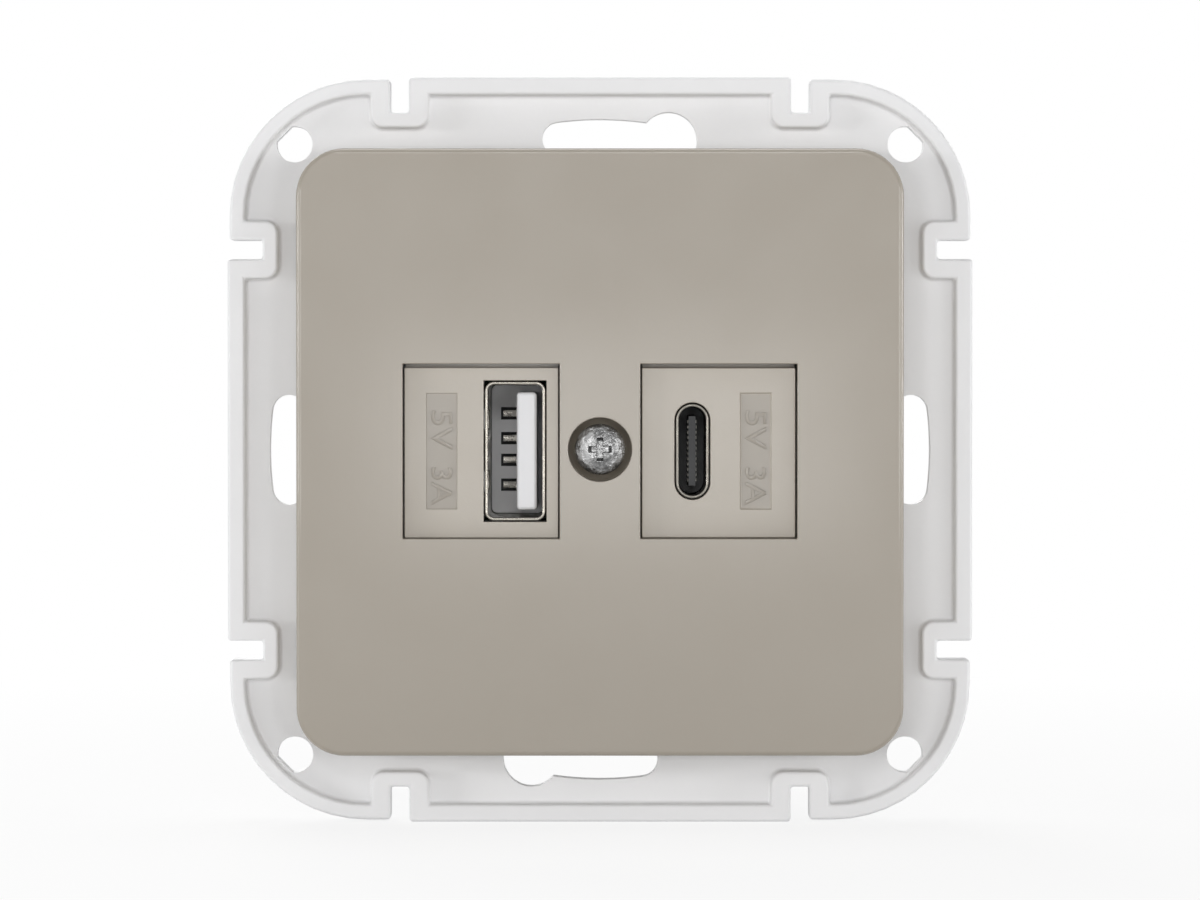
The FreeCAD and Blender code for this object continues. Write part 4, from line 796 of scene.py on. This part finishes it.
class SOCKET_OT_inserts(bpy.types.Operator):
    """Mould the caps in the two windows, each with its port hole, label pad and raised rating"""

    bl_idname = "socket.inserts"
    bl_label = "Make inserts"

    def execute(self, context):
        size = context.scene.socket_cover
        ports = context.scene.socket_ports
        face = -size.ahead + size.insert_sunk
        width = size.window_width - 2 * size.insert_gap
        height = size.window_height - 2 * size.insert_gap - size.insert_drop
        for sign, node, label_x in CAPS:
            x = sign * size.window_place
            cap = box(node, width, height, -5.5 * MM, face, x, -size.insert_drop)
            join(cap, box("lips", width, height + 2.5 * MM, -7.4 * MM, -8.6 * MM, x))
            top = height / 2 - size.insert_drop
            cut(cap, box("relief", width + MM, 0.5 * MM, -7.5 * MM, -9 * MM, x, top + 0.25 * MM))
            cut(cap, box("hollow", width - 2 * MM, height - 2 * MM, 0, face + 1.2 * MM, x))
            cut(cap, port_opening("port_hole", ports, sign < 0, 0.2 * MM, 0, face - MM))
            cut(cap, box("pad", 2.9 * MM, 10.9 * MM, face + PAD_DEPTH, face - MM, label_x))
            soften(cap, 0.1 * MM)
            name = "large_port_cap" if sign < 0 else "small_port_cap"
            finish(cap, name, "taupe_grained", "taupe_plastic", node)
            pad = face + PAD_DEPTH
            # Painted shade: the label pad's floor takes the darker finish.
            paint(cap, "taupe_painted_shade", lambda place: abs(place.y - pad) < 0.01 * MM
                  and abs(place.x - label_x) < 1.5 * MM)
            self.raise_rating(name, label_x, pad, size.letter_height)
        return {"FINISHED"}

    def raise_rating(self, name, x, pad, letter_height):
        """Raise the two figures and their units on the pad, reading downwards."""
        words = []
        for text, top, bottom in RATING:
            deselect()
            bpy.ops.object.text_add(location=(0, 0, 0))
            word = bpy.context.object
            word.data.body = text
            word.data.size = 3 * MM
            word.data.extrude = 0.05 * MM
            word.data.offset = -0.02 * MM
            word.data.bevel_depth = 0.04 * MM
            word.data.bevel_resolution = 1
            word.data.resolution_u = 6
            bpy.ops.object.convert(target="MESH")
            word = bpy.context.object
            spans = [(min(axis), max(axis)) for axis in zip(*(vertex.co for vertex in word.data.vertices))]
            for vertex in word.data.vertices:
                along, up, out = ((value - low) / (high - low) for value, (low, high) in zip(vertex.co, spans))
                vertex.co = (x + (up - 0.5) * letter_height, pad + 0.02 * MM - out * LETTER_RELIEF,
                             top - along * (top - bottom))
            words.append(word)
        rating = merge(words)
        edit_all()
        bpy.ops.mesh.remove_doubles(threshold=TOUCH)
        face_outwards()
        # The letters take the pad's painted shade too.
        finish(rating, name + "_rating", "taupe_painted_shade", "taupe_plastic")


# Ports


class SOCKET_OT_large_port(bpy.types.Operator):
    """Fold the large port's shell and mould its white tongue with four contact strips"""

    bl_idname = "socket.large_port"
    bl_label = "Make large port"

    def execute(self, context):
        ports = context.scene.socket_ports
        front, x = -ports.mouth_ahead, -ports.large_place
        self.make_shell(ports, front, x)
        self.make_tongue(ports, front, x)
        self.make_contacts(ports, front, x)
        return {"FINISHED"}

    def make_shell(self, ports, front, x):
        width, height = ports.large_width, ports.large_height
        sheet, back = ports.sheet, 4 * MM
        shell = slab("shell", width + 2 * sheet, height + 2 * sheet, 0.9 * MM, back, front, x)
        cut(shell, slab("bore", width, height, 0.6 * MM, back + MM, front - MM, x))
        wall = (width + sheet) / 2
        for z in (-2.9 * MM, 2.9 * MM):
            cut(shell, box("spring_window", 2 * sheet, 1.9 * MM, -1.2 * MM, -8.2 * MM, x - wall, z))
        mark_middles(shell)
        soften(shell, 0.13 * MM, 3)
        for side in (-1, 1):
            join(shell, box("leg", sheet, 1.6 * MM, 6.4 * MM, back - MM, x + side * wall))
        finish(shell, "large_port_shell", "bright_nickel", "nickel_shell", "usb_a_shell")

    def make_tongue(self, ports, front, x):
        base_front = 2.5 * MM
        gap = 0.1 * MM
        base = slab("tongue", ports.large_width - gap, ports.large_height - gap, 0.6 * MM, 4 * MM,
                    base_front, x)
        blade_x, blade_width = x + 1.07 * MM, 1.9 * MM
        blade = box("tongue_blade", blade_width, 11.1 * MM, base_front + MM, front + 1.2 * MM, blade_x)
        soften(blade, 0.34 * MM, 4)
        soften(base, 0.1 * MM)
        join(base, blade)
        pocket_width, pocket_height, pocket_floor = 1.7 * MM, 1.2 * MM, 3.8 * MM
        pocket_x = blade_x - blade_width / 2 - pocket_width / 2
        for z in ports.rows():
            cut(base, box("pocket", pocket_width, pocket_height, pocket_floor, base_front - MM, pocket_x, z))
        finish(base, "large_port_tongue", "tongue_white", "tongue_plastic", "usb_a_insulator")
        slack = 0.01 * MM

        def pocket_painted_shade(place):
            return (abs(place.x - pocket_x) < pocket_width / 2 + slack
                    and base_front + slack < place.y < pocket_floor + 10 * slack
                    and any(abs(place.z - z) < pocket_height / 2 + slack for z in ports.rows()))

        # Painted shade: the contact pockets' walls and floors are lined black, standing in for the shade
        # inside them.
        paint(base, "black_plastic_and_painted_shade", pocket_painted_shade)

    def make_contacts(self, ports, front, x):
        left = x + 0.12 * MM
        strips = []
        for z in ports.rows():
            strip = box("strip", 0.25 * MM, 0.8 * MM, 3.7 * MM, front + 2.2 * MM, left - 0.125 * MM, z)
            narrow(strip, -1, (0.1, 1, 0.7), (left, front + 2.2 * MM, z))
            join(strip, box("foot", 1.25 * MM, 0.6 * MM, 3.2 * MM, 2.65 * MM, left - 0.85 * MM, z),
                 box("pin", 0.25 * MM, 0.5 * MM, 6.4 * MM, 3 * MM, left - 0.125 * MM, z))
            soften(strip, 0.06 * MM)
            strips.append(strip)
        finish(merge(strips), "large_port_contacts", "tin_plate", "contact_metal", "usb_a_contacts")


class SOCKET_OT_small_port(bpy.types.Operator):
    """Draw the small port's shell and mould its dark base and tongue"""

    bl_idname = "socket.small_port"
    bl_label = "Make small port"

    def execute(self, context):
        ports = context.scene.socket_ports
        front, x = -ports.mouth_ahead, ports.small_place
        shell = port_opening("shell", ports, False, 0, MM, front)
        width, height = ports.small_width, ports.small_height
        cut(shell, slab("bore", width, height, width / 2 - HAIR, 2 * MM, front - MM, x))
        mark_middles(shell)
        soften(shell, 0.13 * MM, 3)
        # The small port's shell takes the darker nickel, which is painted shade.
        finish(shell, "small_port_shell", "nickel_painted_shade", "nickel_shell", "usb_c_shell")
        gap = 0.1 * MM
        base = slab("base", width - gap, height - gap, (width - gap) / 2 - HAIR, MM, -3.2 * MM, x)
        join(base, box("tongue", 0.7 * MM, 6.6 * MM, -2 * MM, front + 1.3 * MM, x))
        soften(base, 0.08 * MM)
        finish(base, "small_port_tongue", "black_plastic_and_painted_shade", "dark_plastic", "usb_c_insulator")
        return {"FINISHED"}


# Screw in the cover


class SOCKET_OT_screw(bpy.types.Operator):
    """Turn the zinc-plated screw and press its cross recess"""

    bl_idname = "socket.screw"
    bl_label = "Make cover screw"

    def execute(self, context):
        size = context.scene.socket_screw
        z = context.scene.socket_cover.screw_rise
        seat = -size.seat_ahead
        top = seat - size.rim - size.dome
        ball = (size.head ** 2 + size.dome ** 2) / (2 * size.dome)
        tip, chamfer, bevel = seat + size.shank_length, 0.3 * MM, 0.12 * MM
        stations = [(size.shank - chamfer, tip), (size.shank, tip - chamfer), (size.shank, seat),
                    (size.head - bevel, seat), (size.head, seat - bevel), (size.head, seat - size.rim)]
        dome_steps = 9
        for step in range(1, dome_steps):
            share = 1 - step / dome_steps
            radius = size.head * share
            stations.append((radius, top + ball - math.sqrt(ball ** 2 - radius ** 2)))
        stations.append((0.02 * MM, top))
        screw = lathe("screw", stations, z)
        long, short = (size.cross_length, 0.55), (size.cross_width, 0.7)
        for (width, across), (height, up) in ((long, short), (short, long)):
            arm = box("arm", width, height, top + size.cross_depth, top - MM, 0, z)
            narrow(arm, 1, (across, 1, up), (0, top + size.cross_depth, z))
            cut(screw, arm)
        soften(screw, 0.07 * MM)
        finish(screw, "zinc_cover_screw", "zinc_plate", "zinc_screw", "cover_screw")
        return {"FINISHED"}


# Casing behind the wall


class SOCKET_OT_casing(bpy.types.Operator):
    """Mould both halves of the casing that goes into the wall box"""

    bl_idname = "socket.casing"
    bl_label = "Make casing"

    def execute(self, context):
        scene = context.scene
        self.make_front(scene.socket_casing, scene.socket_ports, scene.socket_cover)
        self.make_rear(scene.socket_casing)
        return {"FINISHED"}

    def corners(self, place):
        return [(x * place, z * place) for x in (-1, 1) for z in (-1, 1)]

    def make_front(self, size, ports, cover):
        inner, corner = size.side - 2 * size.wall, size.corner - size.wall
        half = slab("front", size.side, size.side, size.corner, size.split_deep, -5.5 * MM)
        join(half, slab("flange", 52.8 * MM, 52.8 * MM, 6 * MM, -1.8 * MM, -3.2 * MM))
        cut(half, slab("hollow", inner, inner, corner, size.split_deep + MM, -3.9 * MM))
        join(half, rod("middle_boss", 3.6 * MM, 2.2 * MM, -6.5 * MM, 0, cover.screw_rise))
        cut(half, rod("nut_bore", 2.45 * MM, -1.5 * MM, -8 * MM, 0, cover.screw_rise),
            rod("tip_bore", SHANK_BORE, 3 * MM, -8 * MM, 0, cover.screw_rise))
        for x, z in self.corners(size.post_place):
            join(half, rod("post", 3.1 * MM, 4 * MM, -4.7 * MM, x, z))
            cut(half, rod("pilot", 1.3 * MM, 5 * MM, -2.65 * MM, x, z))
        for large in (True, False):
            cut(half, port_opening("port_hole", ports, large, 0.2 * MM, 0, -7 * MM))
        for x, z in SIDES:
            cut(half, rod("flange_hole", 1.4 * MM, 0, -5 * MM, BOSS_PLACE * x, BOSS_PLACE * z))
        soften(half, 0.2 * MM)
        finish(half, "front_casing", "casing_grey", "case_plastic", "front_housing")

    def make_rear(self, size):
        inner, corner = size.side - 2 * size.wall, size.corner - size.wall
        floor = size.deep - size.wall
        half = slab("rear", size.side, size.side, size.corner, size.deep, size.split_deep)
        cut(half, slab("hollow", inner, inner, corner, floor, size.split_deep - MM))
        for x, z in self.corners(size.post_place):
            join(half, rod("post", 3.1 * MM, size.deep - size.wall / 2, 10.8 * MM, x, z))
            cut(half, rod("head_recess", 2.35 * MM, size.deep + MM, 16 * MM, x, z),
                rod("shank_hole", 1.4 * MM, 17 * MM, 10 * MM, x, z))
        for row in range(5):
            cut(half, slab("vent", size.vent_width, size.vent_height, size.vent_height / 4,
                           size.deep + MM, floor - MM, 0, MM + row * size.vent_pitch))
        for x in (-5 * MM, 5 * MM):
            cut(half, rod("wire_entry", size.wire_hole, size.deep + MM, floor - MM, x, -13.2 * MM))
            deselect()
            bpy.ops.mesh.primitive_cylinder_add(
                vertices=HOLE_STEPS, radius=size.driver_hole, depth=4 * MM,
                location=(x, 23 * MM, -size.side / 2))
            cut(half, bpy.context.object)
        soften(half, 0.25 * MM)
        finish(half, "rear_casing", "casing_grey", "case_plastic", "rear_housing")


# Stage


# Name, place, width, height and power of each lamp; all of them aim at the plate's middle
LAMPS = (
    ("front_lamp", (0, -0.72, 0.19), 0.25, 0.12, 0.7),
    ("left_near_lamp", (-0.19, -0.72, 0.02), 0.1, 0.1, 0.42),
    ("right_near_lamp", (0.19, -0.72, 0.02), 0.1, 0.1, 0.42),
    ("left_front_lamp", (-0.45, -0.6, 0.04), 0.35, 0.14, 0.25),
    ("right_front_lamp", (0.45, -0.6, 0.04), 0.35, 0.14, 0.5),
    ("left_strip", (-0.96, -0.34, 0.06), 0.3, 0.18, 3.0),
    ("right_strip", (1, -0.2, 0.06), 0.3, 0.18, 2.8),
    ("front_card", (0.0026, -0.75, -0.017), 0.12, 0.066, 0.13),
    ("back_lamp", (-0.3, 0.8, 0.4), 0.5, 0.4, 3.5),
    ("top_lamp", (0, 0.12, 0.75), 0.4, 0.3, 2),
)
DIM_LIGHT = 0.13


def seen_directly(tree):
    """1 for what the camera, a mirror or clear plastic sees, and 0 for light that spreads."""
    light_path = tree.nodes.new("ShaderNodeLightPath")
    seen = light_path.outputs["Is Camera Ray"]
    for ray in ("Is Glossy Ray", "Is Transmission Ray"):
        either = tree.nodes.new("ShaderNodeMath")
        either.operation = "MAXIMUM"
        tree.links.new(seen, either.inputs[0])
        tree.links.new(light_path.outputs[ray], either.inputs[1])
        seen = either.outputs["Value"]
    return seen


def floor_material():
    """Pale floor that shows the socket's shadow near it and runs out to plain white."""
    paper = Finish("pale_floor")
    output = paper.tree.nodes["Material Output"]
    put(paper.shader, Roughness=0.8)
    paper.colour((0.9, 0.9, 0.9), paper.noise(8, 3), 0.01)
    distance = paper.add("ShaderNodeVectorMath", operation="LENGTH")
    paper.link(paper.place, distance.inputs[0])
    share = paper.add("ShaderNodeMath", operation="MULTIPLY")
    paper.link(seen_directly(paper.tree), share.inputs[0])
    paper.link(paper.spread(distance.outputs["Value"], 0.85, 1.0, 0.05, 0.2), share.inputs[1])
    white = paper.add("ShaderNodeEmission")
    mix = paper.add("ShaderNodeMixShader")
    paper.link(share.outputs["Value"], mix.inputs["Fac"])
    paper.link(paper.shader.outputs["BSDF"], mix.inputs[1])
    paper.link(white.outputs["Emission"], mix.inputs[2])
    paper.link(mix.outputs["Shader"], output.inputs["Surface"])
    return paper.material


def white_world():
    """Dim even light on the socket, and plain white behind it."""
    world = bpy.data.worlds.new("studio")
    bpy.context.scene.world = world
    world.use_nodes = True
    tree = world.node_tree
    level = tree.nodes.new("ShaderNodeMapRange")
    put(level, To_Min=DIM_LIGHT, To_Max=1)
    tree.links.new(seen_directly(tree), level.inputs["Value"])
    background = tree.nodes["Background"]
    put(background, Color=(1, 1, 1, 1))
    tree.links.new(level.outputs["Result"], background.inputs["Strength"])


def soft_lamp(name, place, width, height, power):
    """An area lamp that aims at the plate's middle."""
    deselect()
    bpy.ops.object.light_add(type="AREA", location=place)
    lamp = bpy.context.object
    lamp.name = name
    lamp.data.shape = "RECTANGLE"
    lamp.data.size, lamp.data.size_y = width, height
    lamp.data.energy = power
    lamp.rotation_euler = (Vector() - Vector(place)).to_track_quat("-Z", "Y").to_euler()


class SOCKET_OT_stage(bpy.types.Operator):
    """Set the floor, the lamps and the camera"""

    bl_idname = "socket.stage"
    bl_label = "Set the stage"

    def execute(self, context):
        stage = context.scene.socket_stage
        plate = context.scene.socket_plate
        deselect()
        bpy.ops.mesh.primitive_plane_add(size=6, location=(0, 0, -plate.side / 2))
        floor = bpy.context.object
        floor.name = "pale_floor"
        floor.data.materials.append(floor_material())
        white_world()
        for lamp in LAMPS:
            soft_lamp(*lamp)
        self.set_camera(context, stage)
        context.scene.view_settings.view_transform = "Standard"
        return {"FINISHED"}

    def set_camera(self, context, stage):
        aim_ahead = 3 * MM
        aim = Vector((0, -aim_ahead, 0))
        turn = Vector((0, -math.cos(stage.rise), math.sin(stage.rise)))
        bpy.ops.object.camera_add(location=aim + turn * (stage.distance - aim_ahead))
        camera = bpy.context.object
        camera.name = "photo_camera"
        camera.rotation_euler = (-turn).to_track_quat("-Z", "Y").to_euler()
        camera.data.sensor_width = SENSOR_WIDTH
        camera.data.lens = stage.focal * SENSOR_WIDTH / PHOTO_WIDTH
        camera.data.clip_start = 0.01
        context.scene.camera = camera


class SOCKET_PT_panel(bpy.types.Panel):
    """Steps that build the socket"""

    bl_idname = "SOCKET_PT_panel"
    bl_label = "USB wall socket"
    bl_space_type = "VIEW_3D"
    bl_region_type = "UI"
    bl_category = "Socket"

    def draw(self, context):
        for step in STEPS:
            self.layout.operator(step.bl_idname)


SETTINGS = {
    "socket_plate": PlateSettings,
    "socket_cover": CoverSettings,
    "socket_ports": PortSettings,
    "socket_screw": ScrewSettings,
    "socket_casing": CasingSettings,
    "socket_stage": StageSettings,
}
STEPS = (
    SOCKET_OT_inner_parts,
    SOCKET_OT_plate,
    SOCKET_OT_cover,
    SOCKET_OT_inserts,
    SOCKET_OT_large_port,
    SOCKET_OT_small_port,
    SOCKET_OT_screw,
    SOCKET_OT_casing,
    SOCKET_OT_stage,
)


def register():
    for name, group in SETTINGS.items():
        bpy.utils.register_class(group)
        setattr(bpy.types.Scene, name, bpy.props.PointerProperty(type=group))
    for step in (*STEPS, SOCKET_PT_panel):
        bpy.utils.register_class(step)


def unregister():
    for step in (SOCKET_PT_panel, *reversed(STEPS)):
        bpy.utils.unregister_class(step)
    for name, group in reversed(SETTINGS.items()):
        delattr(bpy.types.Scene, name)
        bpy.utils.unregister_class(group)


def main():
    register()
    bpy.ops.socket.inner_parts()
    bpy.ops.socket.plate()
    bpy.ops.socket.cover()
    bpy.ops.socket.inserts()
    bpy.ops.socket.large_port()
    bpy.ops.socket.small_port()
    bpy.ops.socket.screw()
    bpy.ops.socket.casing()
    bpy.ops.socket.stage()


if __name__ == "__main__":
    main()
